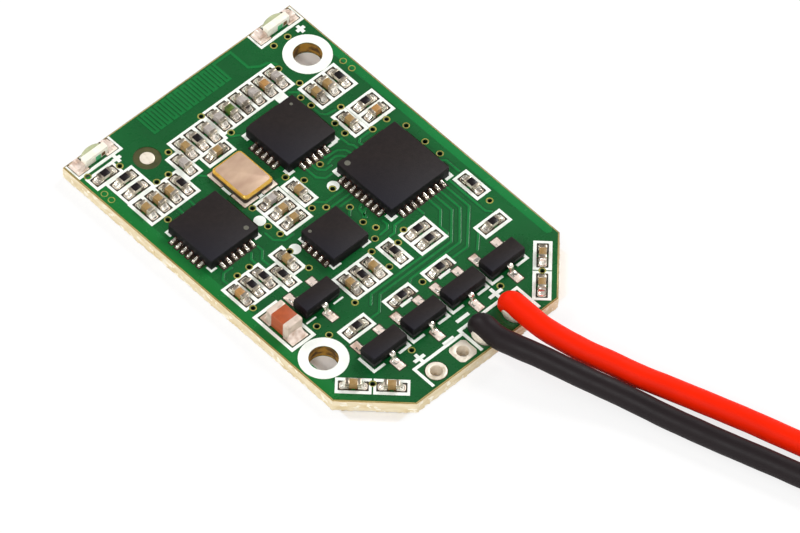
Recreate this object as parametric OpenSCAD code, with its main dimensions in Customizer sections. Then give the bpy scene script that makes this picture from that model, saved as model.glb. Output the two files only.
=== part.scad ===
// Receiver board of a small model aircraft: one populated circuit board
// with two battery leads and their plug. Millimetres, +Z up.
// The board lies flat: its underside is z = 0 and its centre is the origin.
// +Y points to the antenna edge, -Y to the edge where the leads leave.

/* [Board] */
// Width of the board
board_w = 19.4; // [19.2:0.1:22]
// Length of the board
board_l = 28.3; // [28.1:0.1:31]
// Thickness of the finished board, both solder masks included
board_t = 1; // [0.8:0.05:1.6]
// Leg of the two cut corners at the lead edge
corner_cut = 3.65; // [3:0.05:4]
// Thickness of one solder mask
mask_t = 0.04; // [0.02:0.005:0.05]
// How far the mask stays back from the cut edge
mask_margin = 0.1; // [0.05:0.01:0.15]
// Gap between a land and the mask around it
land_gap = 0.06; // [0.03:0.01:0.08]
// Thickness of a tinned land
land_t = 0.06; // [0.055:0.005:0.1]
// Thickness of the white print
print_t = 0.03; // [0.02:0.005:0.04]
// Width of a line of the white print
print_line = 0.22; // [0.15:0.01:0.25]
// Height of a covered track above the mask
track_t = 0.02; // [0.01:0.005:0.03]

/* [Holes] */
// Diameter of the two mounting holes
mount_hole_d = 1.9; // [1.6:0.05:2.2]
// Outer diameter of the printed ring round a mounting hole
mount_ring_d = 3.2; // [2.8:0.1:3.3]
// Mounting hole at the antenna edge: distance from the right edge
mount_a_edge = 1.9; // [1.8:0.05:2.1]
// Mounting hole at the antenna edge: distance from that edge
mount_a_end = 3.7; // [3.65:0.05:3.8]
// Mounting hole at the lead edge: distance from the left edge
mount_b_edge = 1.8; // [1.75:0.05:1.85]
// Mounting hole at the lead edge: distance from that edge
mount_b_end = 6.4; // [6.35:0.05:6.5]
// Diameter of a plated lead hole
lead_hole_d = 0.86; // [0.7:0.02:0.95]
// Distance from a lead hole to the lead edge
lead_hole_end = 1.0; // [0.95:0.05:1.1]
// Outer diameter of a via's ring
via_ring_d = 0.5; // [0.4:0.02:0.5]
// Bore of a via
via_bore_d = 0.26; // [0.16:0.02:0.32]

/* [Small chips] */
// Length of a small chip part
small_l = 1.0; // [0.9:0.05:1.1]
// Width of a small chip part
small_w = 0.5; // [0.4:0.05:0.6]
// Height of a resistor
resistor_h = 0.35; // [0.25:0.05:0.45]
// Height of a capacitor
capacitor_h = 0.5; // [0.4:0.05:0.6]
// Length of a metal end
small_end = 0.25; // [0.15:0.05:0.3]
// Width of a land under a small part
small_land = 0.62; // [0.6:0.01:0.64]
// Length of the pair of lands, over all
small_span = 1.8; // [1.6:0.05:1.82]
// Outer width of the printed cell round a small part
cell_w = 1.2; // [1.1:0.02:1.26]
// Outer length of the printed cell
cell_l = 2.27; // [2.25:0.01:2.3]

/* [Leadless chips] */
// Height of a leadless chip
chip_h = 0.86; // [0.7:0.02:1]
// Height of the straight foot of its side
chip_foot = 0.45; // [0.4:0.05:0.5]
// Slope inset of the moulded top
chip_draft = 0.1; // [0.05:0.01:0.15]
// Spacing of the terminals
pitch = 0.5; // [0.46:0.01:0.52]
// Width of a terminal
terminal_w = 0.25; // [0.2:0.01:0.28]
// How far the solder of a terminal reaches out
terminal_reach = 0.46; // [0.4:0.01:0.48]
// Height of the solder against the chip's side
terminal_h = 0.4; // [0.3:0.02:0.44]
// Width of the controller chip
controller_w = 5; // [4.8:0.1:5]
// Width of the radio chip
radio_w = 4; // [3.8:0.1:4]
// Width of the gyro chip
gyro_w = 4; // [3.8:0.1:4]
// Width of the accelerometer chip
accel_w = 3; // [2.8:0.1:3]

/* [Crystal] */
// Width of the crystal
crystal_w = 2.5; // [2.3:0.1:2.5]
// Length of the crystal
crystal_l = 3.2; // [3:0.1:3.3]
// Height of its ceramic base
crystal_base_h = 0.42; // [0.3:0.02:0.6]
// Height of its gold seal ring
crystal_ring_h = 0.08; // [0.05:0.01:0.12]
// Thickness of its lid
crystal_lid_h = 0.1; // [0.06:0.01:0.16]

/* [Transistors] */
// Length of a transistor body
sot_l = 2.9; // [2.7:0.05:3]
// Width of a transistor body
sot_w = 1.3; // [1.2:0.05:1.4]
// Height of a transistor body
sot_h = 0.95; // [0.85:0.05:1.1]
// Gap under a transistor body
sot_rise = 0.1; // [0.05:0.01:0.12]
// Draft inset of a transistor body, above and below its parting line
sot_draft = 0.1; // [0.05:0.01:0.14]
// Width of a transistor foot
foot_w = 0.4; // [0.3:0.02:0.46]
// Thickness of the lead frame
foot_t = 0.12; // [0.1:0.01:0.15]
// Reach of a foot from the middle of the body
foot_reach = 1.3; // [1.2:0.05:1.35]
// Half spacing of the two feet on one side
foot_half = 0.95; // [0.9:0.05:1]
// Spacing of the four motor transistors
motor_pitch = 3.36; // [3.3:0.01:3.4]

/* [Lamps] */
// Width of a lamp over its metal ends
lamp_w = 3; // [2.8:0.1:3.1]
// Height of a lamp
lamp_h = 0.7; // [0.6:0.05:0.8]
// Thickness of a lamp's carrier
lamp_back = 0.2; // [0.15:0.05:0.3]
// Depth of a lamp's white block
lamp_block = 0.3; // [0.2:0.05:0.35]
// Width of a lamp's white block
lamp_block_w = 1.9; // [1.7:0.1:2]
// Width of a lamp's lens
lamp_lens_w = 1.7; // [1.5:0.1:1.8]
// How far a lamp's lens bulges out of the block
lamp_lens_reach = 0.42; // [0.3:0.02:0.45]
// Height of a lamp's metal ends
lamp_end_h = 0.4; // [0.3:0.05:0.5]
// Distance from the carrier's back to the antenna edge
lamp_end = 1.05; // [1:0.05:1.1]
// Distance from a lamp's middle to the side edge
lamp_edge = 1.92; // [1.9:0.02:2]

/* [Battery leads] */
// Outer diameter of a lead
lead_d = 1.5; // [1.4:0.02:1.5]
// Width of the plug
plug_w = 5.8; // [5.4:0.1:6.4]
// Length of the plug
plug_l = 7.6; // [7:0.1:9]
// Height of the plug
plug_h = 3; // [2.9:0.05:3.2]

/* [Hidden] */
$fn = 32;

eps = 0.01;
core_bottom = mask_t;
core_top = board_t - mask_t;
seat_z = core_top + land_t;      // underside of every soldered part

left = -board_w / 2;
right = board_w / 2;
antenna_y = board_l / 2;
lead_y = -board_l / 2;

mount_a = [right - mount_a_edge, antenna_y - mount_a_end];
mount_b = [left + mount_b_edge, lead_y + mount_b_end];

// Width and length of the board that the places below are written for
plan = [19.4, 28.3];

// A place that keeps its share of the board's width and length
function spot(x, y) = [x * board_w / plan[0], y * board_l / plan[1]];

// A place that keeps its distance from the lead edge
function near_leads(x, up) = [x * board_w / plan[0], lead_y + up];

// Middles of the leadless chips and the crystal
controller_at = spot(5.2, -0.13);
radio_at = spot(2.42, 6.28);
gyro_at = spot(-6.35, 3.94);
accel_at = spot(-1.12, -1.53);
crystal_at = spot(-2.08, 5.87);
crystal_land = [1.2, 1.3];

// As many terminals as a side takes, with the corners left free
function pins_on(w, corners) = floor((w - corners) / pitch + 1.01);
controller_pins = pins_on(controller_w, 1.5);
radio_pins = pins_on(radio_w, 2);
gyro_pins = pins_on(gyro_w, 1.5);
accel_pins = pins_on(accel_w, 1);
accel_reach = 0.3;

// Regulator and the row of motor transistors
regulator_at = spot(-5.31, -4.35);
motor_at = near_leads(-4.8, 4.28);
motor_count = 4;
foot_land_w = 0.58;
foot_land_end = 1.73;
foot_land_start = 0.85;

// Large capacitor beside the regulator
bulk_at = spot(-8.0, -4.29);
bulk_w = 1.25;
bulk_l = 2.0;
bulk_h = 1.25;
bulk_end = 0.5;
bulk_cell = [2.03, 3.63];
bulk_land_end = 1.5;
bulk_land_start = 0.6;

// Lamps
lamp_y = antenna_y - lamp_end;
lamps_x = [left + lamp_edge, right - lamp_edge];
lamp_land = [0.9, 1.05];
lamp_land_x = 1.2;
lamp_land_y = antenna_y - 0.675;
lamp_frame = [3.7, 1.4];
lamp_frame_y = antenna_y - 0.75;

// Lead holes: two open ones, then the black and the red lead
hole_y = lead_y + lead_hole_end;
open_holes_x = [-3.43, -1.17];
joint_holes_x = [0.85, 3.45];
open_ring_d = 1.38;
joint_ring_d = 1.8;
joint_h = 0.8;

fiducial_at = spot(-5.3, 11.15);
fiducial_d = 1.06;
fiducial_opening_d = 1.82;

// Row of small parts under the antenna: letters, middle of the first, and step to the next
antenna_row = "GNGGOG";
antenna_row_at = spot(0.03, 10.33);
antenna_row_step = 0.99;

// Rows of small parts: letters, middle of the first, step to the next, turn.
// R resistor, T tan, G grey, O orange and N green capacitor.
rows = [
    ["R", spot(-8.23, 11.88), [0, 0], 0],
    ["RR", spot(-7.56, 10.8), [0, -1.06], 0],
    ["TTTR", spot(-8.15, 8.1), [0.99, 0], 90],
    ["G", spot(-4.0, 9.16), [0, 0], 90],
    ["TRG", spot(-3.06, 10.02), [0.99, 0], 90],
    [antenna_row, antenna_row_at, [antenna_row_step, 0], 90],
    ["T", spot(-1.83, 8.47), [0, 0], 0],
    ["TTR", spot(6.0, 7.7), [0.97, 0], 90],
    ["T", spot(6.0, 4.65), [0, 0], 90],
    ["RO", spot(7.76, 5.12), [0, -1], 0],
    ["GTT", spot(-1.92, 3.37), [0, -1.01], 0],
    ["T", spot(-0.13, 2.73), [0, 0], 90],
    ["ORR", spot(-8.4, -0.73), [1, 0], 90],
    ["R", spot(-5.41, -1.42), [0, 0], 90],
    ["T", spot(-4.4, -0.72), [0, 0], 90],
    ["TRT", spot(-2.8, -4.76), [0.985, 0], 90],
    ["R", spot(0.96, -4.76), [0, 0], 90],
    ["RR", spot(3.21, -4.48), [0, -1.02], 0],
    ["R", spot(8.22, -4.11), [0, 0], 90],
    ["R", near_leads(-4.8, 6.72), [0, 0], 0],
    ["R", near_leads(-1.12, 6.58), [0, 0], 0],
    ["R", near_leads(2.15, 6.58), [0, 0], 0],
    ["R", near_leads(7.06, 6.93), [0, 0], 0],
    ["TT", corner_spot(-1, 1.17, -1.36), [1.68, -1.68], -45],
    ["TT", corner_spot(1, 1.03, -0.68), [-1.67, -1.67], 45]];

// A place near a cut corner: inward from its edge, and along it from its middle
function corner_spot(side, inward, along) =
    let (m = [side * (right - corner_cut / 2), lead_y + corner_cut / 2], s = sqrt(0.5))
    [m[0] - side * s * (inward + along), m[1] + s * (inward - along)];

// Vias, by region from the antenna edge to the lead edge
via_plan = [
    [-9.2, 10.85], [-9.2, 10.2], [-9.05, 12.55], [-7.0, 11.85], [-6.15, 9.35], [-5.2, 9.3],
    [-4.0, 10.6], [-0.55, 11.32], [-0.05, 9.1], [5.65, 10.85], [5.85, 9.1], [6.7, 12.4], [7.85, 12.35],
    [9.1, 8.55], [9.1, 7.75], [5.1, 8.2], [5.16, 7.3], [6.45, 5.95], [5.28, 5.25], [5.2, 4.25],
    [6.7, 3.3], [7.9, 3.3], [8.46, 2.1], [8.46, 0.37], [8.48, -0.95], [-7.65, 6.7],
    [-3.4, 2.1], [-3.25, 1.15], [-3.15, 3.8], [0.75, 3.25], [0.05, 4.2], [2.35, 3.5],
    [-0.4, 1.3], [0.3, 0.75], [1.4, -0.25], [1.2, -1.65], [1.5, -2.5], [0.85, -3.1], [1.6, 1.55],
    [-7.45, 0.55], [-6.45, 0.55], [-3.75, -0.25], [-8.45, -1.95], [-3.75, -2.0],
    [0, -3.7], [1.7, -4.3], [2.65, -3.8], [0, -5.3], [-6.5, -5.65], [-3.5, -5.9], [-6.4, -6.65],
    [8.2, -5.75]];
vias_at = concat([for (p = via_plan) spot(p[0], p[1])], [
    near_leads(0.7, 6.6), near_leads(-3.45, 3.2), near_leads(4.05, 3.1),
    corner_spot(-1, 1.4, -0.17), corner_spot(1, 1.03, 0.5)]);

// Printed dots that mark the first pin of three chips
dots_at = [gyro_at + [2.85, -1.19], accel_at + [-2.28, 1.18], controller_at + [-3.43, 1.8]];
dot_d = 0.8;

// Antenna: turns of a meander under the mask, and the corner that its feed goes round
antenna_turns = 12;
antenna_pitch = 0.56;
antenna_x = -3.6;
antenna_clear = 0.735;
antenna_low = antenna_row_at[1] + cell_l / 2 + antenna_clear;
antenna_high = antenna_y - 0.2;
antenna_line = 0.2;
feed_x = 4.3 * board_w / plan[0];
row_end = antenna_row_at[0] + (len(antenna_row) - 1) * antenna_row_step;
row_corner = [row_end + cell_w / 2, antenna_low - antenna_clear];

// Tracks from the controller to the left: terminal, straight run down, run to x, height of that run;
// the two lengths are counted down from the middle of the chip
bus = [[2, 4.07, -2.2, 6.32], [4, 4.42, 0.1, 6.72], [5, 4.67, 1.4, 7.02]];
// Slanting tracks: terminal, straight run down, end from the chip's middle
slants = [[6, 5.32, [-0.5, -7.47]], [7, 4.87, [-0.9, -7.87]]];
track_line = 0.18;
// Wide tracks along both side edges: inset, width, ends from the antenna edge and from the lead edge
side_tracks = [[left + 0.53, 0.8, 2.15, 4.15], [right - 0.38, 0.5, 4.15, 6.15]];

// Route of the black lead, centre line
black_route = [
    [0.75, -13.2, 1.8], [0.75, -14.3, 1.8], [1.1, -15.6, 1.85], [1.65, -17.1, 1.8], [2.25, -18.7, 1.6],
    [2.9, -20.3, 1.35], [3.55, -21.8, 1.1], [4.15, -23.4, 0.9], [4.65, -25.0, 0.8], [5.2, -26.7, 0.77],
    [5.75, -28.4, 0.77], [6.3, -30.0, 0.77], [7.1, -32.3, 0.77], [7.8, -34.4, 0.77], [8.7, -36.6, 0.77],
    [10.1, -38.6, 0.77], [12.1, -40.1, 0.77], [14.5, -40.9, 0.77], [17.0, -40.9, 0.77],
    [19.5, -40.0, 0.77], [21.7, -38.3, 0.77], [23.3, -36.1, 0.9], [24.2, -33.8, 1.3],
    [24.4, -32.2, 1.5], [24.4, -31.0, 1.5]];

// Route of the red lead, centre line
red_route = [
    [3.3, -13.2, 1.8], [3.3, -14.4, 1.8], [3.3, -15.6, 1.85], [3.6, -17.0, 1.75], [4.15, -18.6, 1.5],
    [4.85, -20.2, 1.25], [5.5, -21.8, 1.0], [6.25, -23.5, 0.85], [7.05, -25.5, 0.77],
    [7.7, -27.3, 0.77], [8.3, -29.0, 0.77], [9.05, -31.3, 0.77], [9.7, -33.2, 0.77],
    [10.5, -35.2, 0.77], [11.9, -37.0, 0.77], [13.9, -38.2, 0.77], [16.2, -38.5, 0.77],
    [18.5, -37.9, 0.77], [20.4, -36.5, 0.77], [21.7, -34.6, 0.9], [22.25, -33.2, 1.3],
    [22.4, -32.1, 1.5], [22.4, -31.0, 1.5]];

lead_sides = 8;
plug_at = (red_route[len(red_route) - 1] + black_route[len(black_route) - 1]) / 2;
plug_pitch = black_route[len(black_route) - 1][0] - red_route[len(red_route) - 1][0];
plug_wall = 0.45;
plug_socket = 1.1;
plug_depth = 5.2;
plug_rib = 0.5;
contact_t = 0.2;

// Colours
mask_green = "#1c8a3c";
solder = "#c9c4b8";
chip_black = "#2f2a2b";
print_white = "#f4f4ef";

// Plain shapes

// Rectangle with round corners, centred
module round_rect(w, l, r) {
    square([w - 2 * r, l], center = true);
    square([w, l - 2 * r], center = true);
    for (x = [-1, 1], y = [-1, 1])
        translate([x * (w / 2 - r), y * (l / 2 - r)]) circle(r);
}

// Outline of the board, drawn back from its edge
module outline(back) {
    w = right - back;
    l = antenna_y - back;
    cut = corner_cut - back * (2 - sqrt(2));
    polygon([[-w, l], [w, l], [w, -l + cut], [w - cut, -l], [cut - w, -l], [-w, -l + cut]]);
}

// Rectangular printed line frame
module frame(w, l, line) {
    difference() {
        square([w, l], center = true);
        square([w - 2 * line, l - 2 * line], center = true);
    }
}

// Side view of a block: upright up to foot, then sloping in towards the top
module side_view(w, foot, h, inset) {
    half = w / 2;
    polygon([[-half, 0], [half, 0], [half, foot], [half - inset, h], [inset - half, h], [-half, foot]]);
}

// Block whose four sides slope in towards the top
module drafted(w, l, foot, h, inset) {
    intersection() {
        rotate([90, 0, 0]) linear_extrude(2 * l, center = true) side_view(w, foot, h, inset);
        rotate([90, 0, 90]) linear_extrude(2 * w, center = true) side_view(l, foot, h, inset);
    }
}

// Places every small part whose letter is in kinds
module small_parts(kinds) {
    for (row = rows)
        for (i = [0 : len(row[0]) - 1])
            if (len(search(row[0][i], kinds)) > 0)
                translate(row[1] + i * row[2]) rotate(row[3]) children();
}

// Places the terminals of a leadless chip: one call for each side
module around(at, w, pins, sides) {
    for (side = sides)
        for (i = [0 : pins - 1])
            translate(at) rotate(90 * side) translate([w / 2, (i - (pins - 1) / 2) * pitch]) children();
}

// Lands of one leadless chip
module chip_lands(at, w, pins, reach, sides, grow) {
    inner = 0.3;
    around(at, w, pins, sides)
        translate([-inner - grow, -terminal_w / 2 - grow])
            square([inner + reach + 2 * grow, terminal_w + 2 * grow]);
}

// Mask openings of one leadless chip: one slot along each side
module chip_slots(at, w, pins, reach, sides) {
    inner = 0.3;
    span = (pins - 1) * pitch + terminal_w + 2 * land_gap;
    for (side = sides)
        translate(at) rotate(90 * side) translate([w / 2 - inner - land_gap, -span / 2])
            square([inner + reach + 2 * land_gap, span]);
}

// Lands of a three-legged part
module sot_lands(grow) {
    long = foot_land_end - foot_land_start;
    for (place = [[-foot_half, 1], [foot_half, 1], [0, -1]])
        translate([place[0], place[1] * (foot_land_start + long / 2)])
            square([foot_land_w + 2 * grow, long + 2 * grow], center = true);
}

// Every soldered land, drawn larger by grow; the chips' rows come apart from it
module plain_lands(grow) {
    gap = small_l - 2 * small_end - 2 * eps;
    long = (small_span - gap) / 2;
    small_parts("RTGON") for (s = [-1, 1])
        translate([s * (gap + long) / 2, 0]) square([long + 2 * grow, small_land + 2 * grow], center = true);
    for (i = [0 : motor_count - 1])
        translate(motor_at + [i * motor_pitch, 0]) sot_lands(grow);
    translate(regulator_at) sot_lands(grow);
    for (s = [-1, 1]) translate(bulk_at + [0, s * (bulk_land_start + bulk_land_end) / 2])
        square([bulk_w + 0.1 + 2 * grow, bulk_land_end - bulk_land_start + 2 * grow], center = true);
    for (x = lamps_x, s = [-1, 1]) translate([x + s * lamp_land_x, lamp_land_y])
        square(lamp_land + 2 * [grow, grow], center = true);
    for (x = [-1, 1], y = [-1, 1])
        translate(crystal_at + [x * (crystal_w / 2 - 0.45), y * (crystal_l / 2 - 0.5)])
            square(crystal_land + 2 * [grow, grow], center = true);
}

// Board

module holes() {
    for (p = [mount_a, mount_b]) translate(p) circle(d = mount_hole_d);
    for (x = concat(open_holes_x, joint_holes_x)) translate([x, hole_y]) circle(d = lead_hole_d + 0.1);
    for (p = vias_at) translate(p) circle(d = via_bore_d + 0.1);
}

module laminate() {
    color("#e6dcc0") translate([0, 0, core_bottom]) linear_extrude(core_top - core_bottom)
        difference() {
            outline(0);
            holes();
        }
}

// Openings that both masks share: mounting holes, vias and lead holes
module shared_openings() {
    for (p = [mount_a, mount_b]) translate(p) circle(d = mount_hole_d);
    for (p = vias_at) translate(p) circle(d = via_ring_d);
    for (x = open_holes_x) translate([x, hole_y]) circle(d = open_ring_d + 2 * land_gap);
    for (x = joint_holes_x) translate([x, hole_y]) circle(d = joint_ring_d + 2 * land_gap);
}

module top_openings() {
    shared_openings();
    plain_lands(land_gap);
    chip_slots(controller_at, controller_w, controller_pins, terminal_reach, [0 : 3]);
    chip_slots(radio_at, radio_w, radio_pins, terminal_reach, [0 : 3]);
    chip_slots(gyro_at, gyro_w, gyro_pins, terminal_reach, [0 : 3]);
    chip_slots(accel_at, accel_w, accel_pins, accel_reach, [0, 2]);
    translate(fiducial_at) circle(d = fiducial_opening_d);
}

module solder_mask_top() {
    color(mask_green) translate([0, 0, core_top]) linear_extrude(mask_t)
        difference() {
            outline(mask_margin);
            top_openings();
        }
}

module solder_mask_bottom() {
    color(mask_green) linear_extrude(mask_t)
        difference() {
            outline(mask_margin);
            shared_openings();
        }
}

// White print

module chip_corners(at, w, arm, line) {
    half = w / 2 + line;
    translate(at) for (s = [-1, 1], t = [-1, 1]) scale([s, t]) {
        translate([half - arm, half - line]) square([arm, line]);
        translate([half - line, half - arm]) square([line, arm]);
    }
}

module transistor_print() {
    half = sot_l / 2 + 0.15;
    low = sot_w / 2 + 0.18;
    for (s = [-1, 1]) scale([s, 1]) {
        translate([half - 0.2, -low]) square([0.2, low + sot_w / 2]);
        translate([0.6, -low]) square([half - 0.6, 0.18]);
    }
}

module lead_boxes() {
    top_a = hole_y + lead_hole_end + 0.1;
    top_b = top_a + 0.3;
    low = lead_y + 0.25;
    translate([-4.47, low]) square([0.2, top_a - low]);
    translate([-4.47, top_a - print_line]) square([4.2, print_line]);
    translate([-0.35, low]) square([print_line, top_b - low]);
    translate([-0.35, top_b - print_line]) square([5.15, print_line]);
    translate([4.6, low]) square([0.2, top_b - low]);
}

module print_plan() {
    difference() {
        union() {
            small_parts("RTGON") frame(cell_l, cell_w, print_line);
            translate(bulk_at) frame(bulk_cell[0], bulk_cell[1], print_line);
            for (p = [mount_a, mount_b]) translate(p) circle(d = mount_ring_d);
            for (p = dots_at) translate(p) circle(d = dot_d);
            chip_corners(controller_at, controller_w, 0.6, 0.2);
            chip_corners(radio_at, radio_w, 0.55, 0.18);
            chip_corners(gyro_at, gyro_w, 0.5, 0.14);
            chip_corners(accel_at, accel_w, 0.7, 0.12);
            for (i = [0 : motor_count - 1])
                translate(motor_at + [i * motor_pitch, 0]) transistor_print();
            translate(regulator_at + [0, -sot_w / 2 - 0.1]) for (s = [-1, 1])
                translate([s * 1.15, 0]) square([0.8, 0.12], center = true);
            for (x = lamps_x) translate([x, lamp_frame_y]) frame(lamp_frame[0], lamp_frame[1], print_line);
            translate(crystal_at - [crystal_w / 2 + 0.11, 0]) square([0.18, 0.76], center = true);
            translate(crystal_at - [0, crystal_l / 2 + 0.13]) square([0.47, 0.22], center = true);
            translate(radio_at + [1.75, 2.65]) square([0.78, 0.6], center = true);
            translate(radio_at + [1.62, -2.17]) square([0.72, 0.18], center = true);
            lead_boxes();
        }
        top_openings();
        for (at = [near_leads(-1.12, 6.58), near_leads(2.15, 6.58)], s = [-1, 1])
            translate(at + [s * 0.85, -cell_w / 2]) square([0.7, 0.5], center = true);
    }
}

module printed_lines() {
    color(print_white) translate([0, 0, board_t]) linear_extrude(print_t)
        intersection() {
            print_plan();
            outline(mask_margin);
        }
}

// Copper

// A track through hand-chosen corners
module track(points, line) {
    for (i = [0 : len(points) - 2]) {
        step = points[i + 1] - points[i];
        translate(points[i]) rotate(atan2(step[1], step[0]))
            translate([0, -line / 2]) square([norm(step), line]);
    }
    for (p = points) translate(p) circle(d = line, $fn = 16);
}

// The meander lies under the mask, which it lifts a little
module antenna() {
    color("#2aa24c") translate([0, 0, board_t]) linear_extrude(track_t) difference() {
        union() {
            for (i = [0 : antenna_turns - 1]) translate([antenna_x + i * antenna_pitch, 0]) {
                half = antenna_pitch / 2;
                high = antenna_high - antenna_low;
                translate([-antenna_line / 2, antenna_low]) square([antenna_line, high]);
                translate([half - antenna_line / 2, antenna_low]) square([antenna_line, high]);
                translate([-antenna_line / 2, antenna_low]) square([half + antenna_line, antenna_line]);
                if (i < antenna_turns - 1)
                    translate([half - antenna_line / 2, antenna_high - antenna_line])
                        square([half + antenna_line, antenna_line]);
            }
            track([[antenna_x + (antenna_turns - 0.5) * antenna_pitch, antenna_high - antenna_line / 2],
                   [feed_x, antenna_high - antenna_line / 2], [feed_x, antenna_low],
                   [feed_x + 0.6, antenna_low - 0.45], row_corner + [-0.15, 0.17],
                   row_corner + [0.18, -0.2], row_corner + [0.2, -0.37]], antenna_line);
        }
        top_openings();
        print_plan();
    }
}

// Under the outer end of one terminal on the controller's lower side
function under_terminal(i) = controller_at +
    [(i - (controller_pins - 1) / 2) * pitch, -controller_w / 2 - terminal_reach - 0.1];

module tracks() {
    color("#2aa24c") translate([0, 0, board_t]) linear_extrude(track_t) difference() {
        union() {
            for (b = bus) {
                top = under_terminal(b[0]);
                low = controller_at[1] - b[3];
                track([top, [top[0], controller_at[1] - b[1]], [top[0] - b[3] + b[1], low], [b[2], low]],
                      track_line);
            }
            for (b = slants) {
                top = under_terminal(b[0]);
                track([top, [top[0], controller_at[1] - b[1]], controller_at + b[2]], track_line);
            }
            end = [bus[0][2], controller_at[1] - bus[0][3]];
            track([end, end - [0.9, 0.9]], track_line);
            for (b = side_tracks)
                track([[b[0], antenna_y - b[2]], [b[0], lead_y + b[3]]], b[1]);
        }
        top_openings();
        print_plan();
    }
}

module lands() {
    color(solder) translate([0, 0, core_top]) linear_extrude(land_t) {
        plain_lands(0);
        chip_lands(controller_at, controller_w, controller_pins, terminal_reach, [0 : 3], 0);
        chip_lands(radio_at, radio_w, radio_pins, terminal_reach, [0 : 3], 0);
        chip_lands(gyro_at, gyro_w, gyro_pins, terminal_reach, [0 : 3], 0);
        chip_lands(accel_at, accel_w, accel_pins, accel_reach, [0, 2], 0);
    }
}

// Plated hole: a tube through the board with a ring on each face
module plated_hole(bore, ring, proud) {
    sleeve = bore / 2 + 0.05;
    top = core_top + proud;
    rotate_extrude() polygon([
        [bore / 2, mask_t / 2], [ring / 2, mask_t / 2], [ring / 2, core_bottom], [sleeve, core_bottom],
        [sleeve, core_top], [ring / 2, core_top], [ring / 2, top], [bore / 2, top]]);
}

module vias() {
    color("#a89a4a") for (p = vias_at) translate(p) plated_hole(via_bore_d, via_ring_d, mask_t * 0.75);
}

module open_lead_holes() {
    color(solder) for (x = open_holes_x) translate([x, hole_y])
        plated_hole(lead_hole_d, open_ring_d, land_t);
}

module fiducial() {
    color(solder) translate([fiducial_at[0], fiducial_at[1], core_top])
        cylinder(d = fiducial_d, h = land_t / 2);
}

// Leadless chips

// Moulded block with bevelled upright corners and a round first-pin dimple
module leadless_chip(at, w, dimple, dimple_d) {
    bevel = 0.12;
    color(chip_black) translate([at[0], at[1], seat_z]) difference() {
        drafted(w, w, chip_foot, chip_h, chip_draft);
        for (a = [45 : 90 : 315]) rotate(a)
            translate([w / sqrt(2) - bevel, -w / 2, chip_foot]) cube([w, w, chip_h]);
        translate([dimple[0], dimple[1], chip_h - 0.03]) cylinder(d = dimple_d, h = 1);
    }
}

// Terminal with the concave solder that climbs the chip's side
module terminal(reach, high) {
    bead = 0.09;
    rotate([90, 0, 0]) linear_extrude(terminal_w, center = true) difference() {
        square([reach, high]);
        translate([reach, high]) scale([(reach - 0.05) / (high - bead), 1])
            circle(high - bead);
    }
}

module chip_terminals(at, w, pins, reach, high, sides) {
    color(solder) translate([0, 0, seat_z]) around(at, w, pins, sides) terminal(reach, high);
}

module controller_chip() {
    leadless_chip(controller_at, controller_w, [-2.0, 2.05], 0.4);
}

module controller_terminals() {
    chip_terminals(controller_at, controller_w, controller_pins, terminal_reach, terminal_h, [0 : 3]);
}

module radio_chip() {
    leadless_chip(radio_at, radio_w, [1.4, 1.45], 0.3);
}

module radio_terminals() {
    chip_terminals(radio_at, radio_w, radio_pins, terminal_reach, terminal_h, [0 : 3]);
}

module gyro_chip() {
    leadless_chip(gyro_at, gyro_w, [1.4, -1.5], 0.38);
}

module gyro_terminals() {
    chip_terminals(gyro_at, gyro_w, gyro_pins, terminal_reach, terminal_h, [0 : 3]);
}

module accelerometer_chip() {
    leadless_chip(accel_at, accel_w, [-1.1, 1.1], 0.3);
}

module accelerometer_terminals() {
    chip_terminals(accel_at, accel_w, accel_pins, accel_reach, terminal_h / 2, [0, 2]);
}

// Crystal

// Ceramic tray with a quarter-round notch at each corner
module crystal_base() {
    notch = 0.18;
    color("#8a7c63") translate([crystal_at[0], crystal_at[1], seat_z]) linear_extrude(crystal_base_h)
        difference() {
            square([crystal_w, crystal_l], center = true);
            for (x = [-1, 1], y = [-1, 1])
                translate([x * crystal_w / 2, y * crystal_l / 2]) circle(notch);
        }
}

module crystal_plate(inset, r) {
    round_rect(crystal_w - 2 * inset, crystal_l - 2 * inset, r);
}

module crystal_seal_ring() {
    color("#f0c23a") translate([crystal_at[0], crystal_at[1], seat_z + crystal_base_h])
        linear_extrude(crystal_ring_h) crystal_plate(0.1, 0.3);
}

module crystal_lid() {
    color("#cfae96") translate([crystal_at[0], crystal_at[1], seat_z + crystal_base_h + crystal_ring_h])
        linear_extrude(crystal_lid_h) crystal_plate(0.22, 0.25);
}

// Transistors and regulator

// Body with its parting line at half height and draft both ways
module sot_body() {
    half = sot_h / 2;
    translate([0, 0, board_t + sot_rise + half]) {
        drafted(sot_l, sot_w, 0, half, sot_draft);
        mirror([0, 0, 1]) drafted(sot_l, sot_w, 0, half, sot_draft);
    }
}

// Gull-wing foot: out of the body, down, and out along the land
module foot() {
    side = sot_w / 2;
    mid = board_t + sot_rise + sot_h / 2;
    drop = side + 0.18;
    rotate([90, 0, 90]) linear_extrude(foot_w, center = true) polygon([
        [side, mid - foot_t / 2], [drop - 0.02, mid - foot_t / 2], [drop + 0.06, seat_z],
        [foot_reach, seat_z], [foot_reach, seat_z + foot_t], [drop + 0.06 + foot_t, seat_z + foot_t],
        [drop + foot_t - 0.02, mid + foot_t / 2], [side, mid + foot_t / 2]]);
}

module sot_feet() {
    for (x = [-foot_half, foot_half]) translate([x, 0, 0]) foot();
    mirror([0, 1, 0]) foot();
}

module motor_transistor(i) {
    color(chip_black) translate(motor_at + [i * motor_pitch, 0]) sot_body();
}

module transistor_feet(i) {
    color(solder) translate(motor_at + [i * motor_pitch, 0]) sot_feet();
}

module regulator_body() {
    color(chip_black) translate(regulator_at) sot_body();
}

module regulator_feet() {
    color(solder) translate(regulator_at) sot_feet();
}

// Lamps that shine out over the antenna edge

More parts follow.
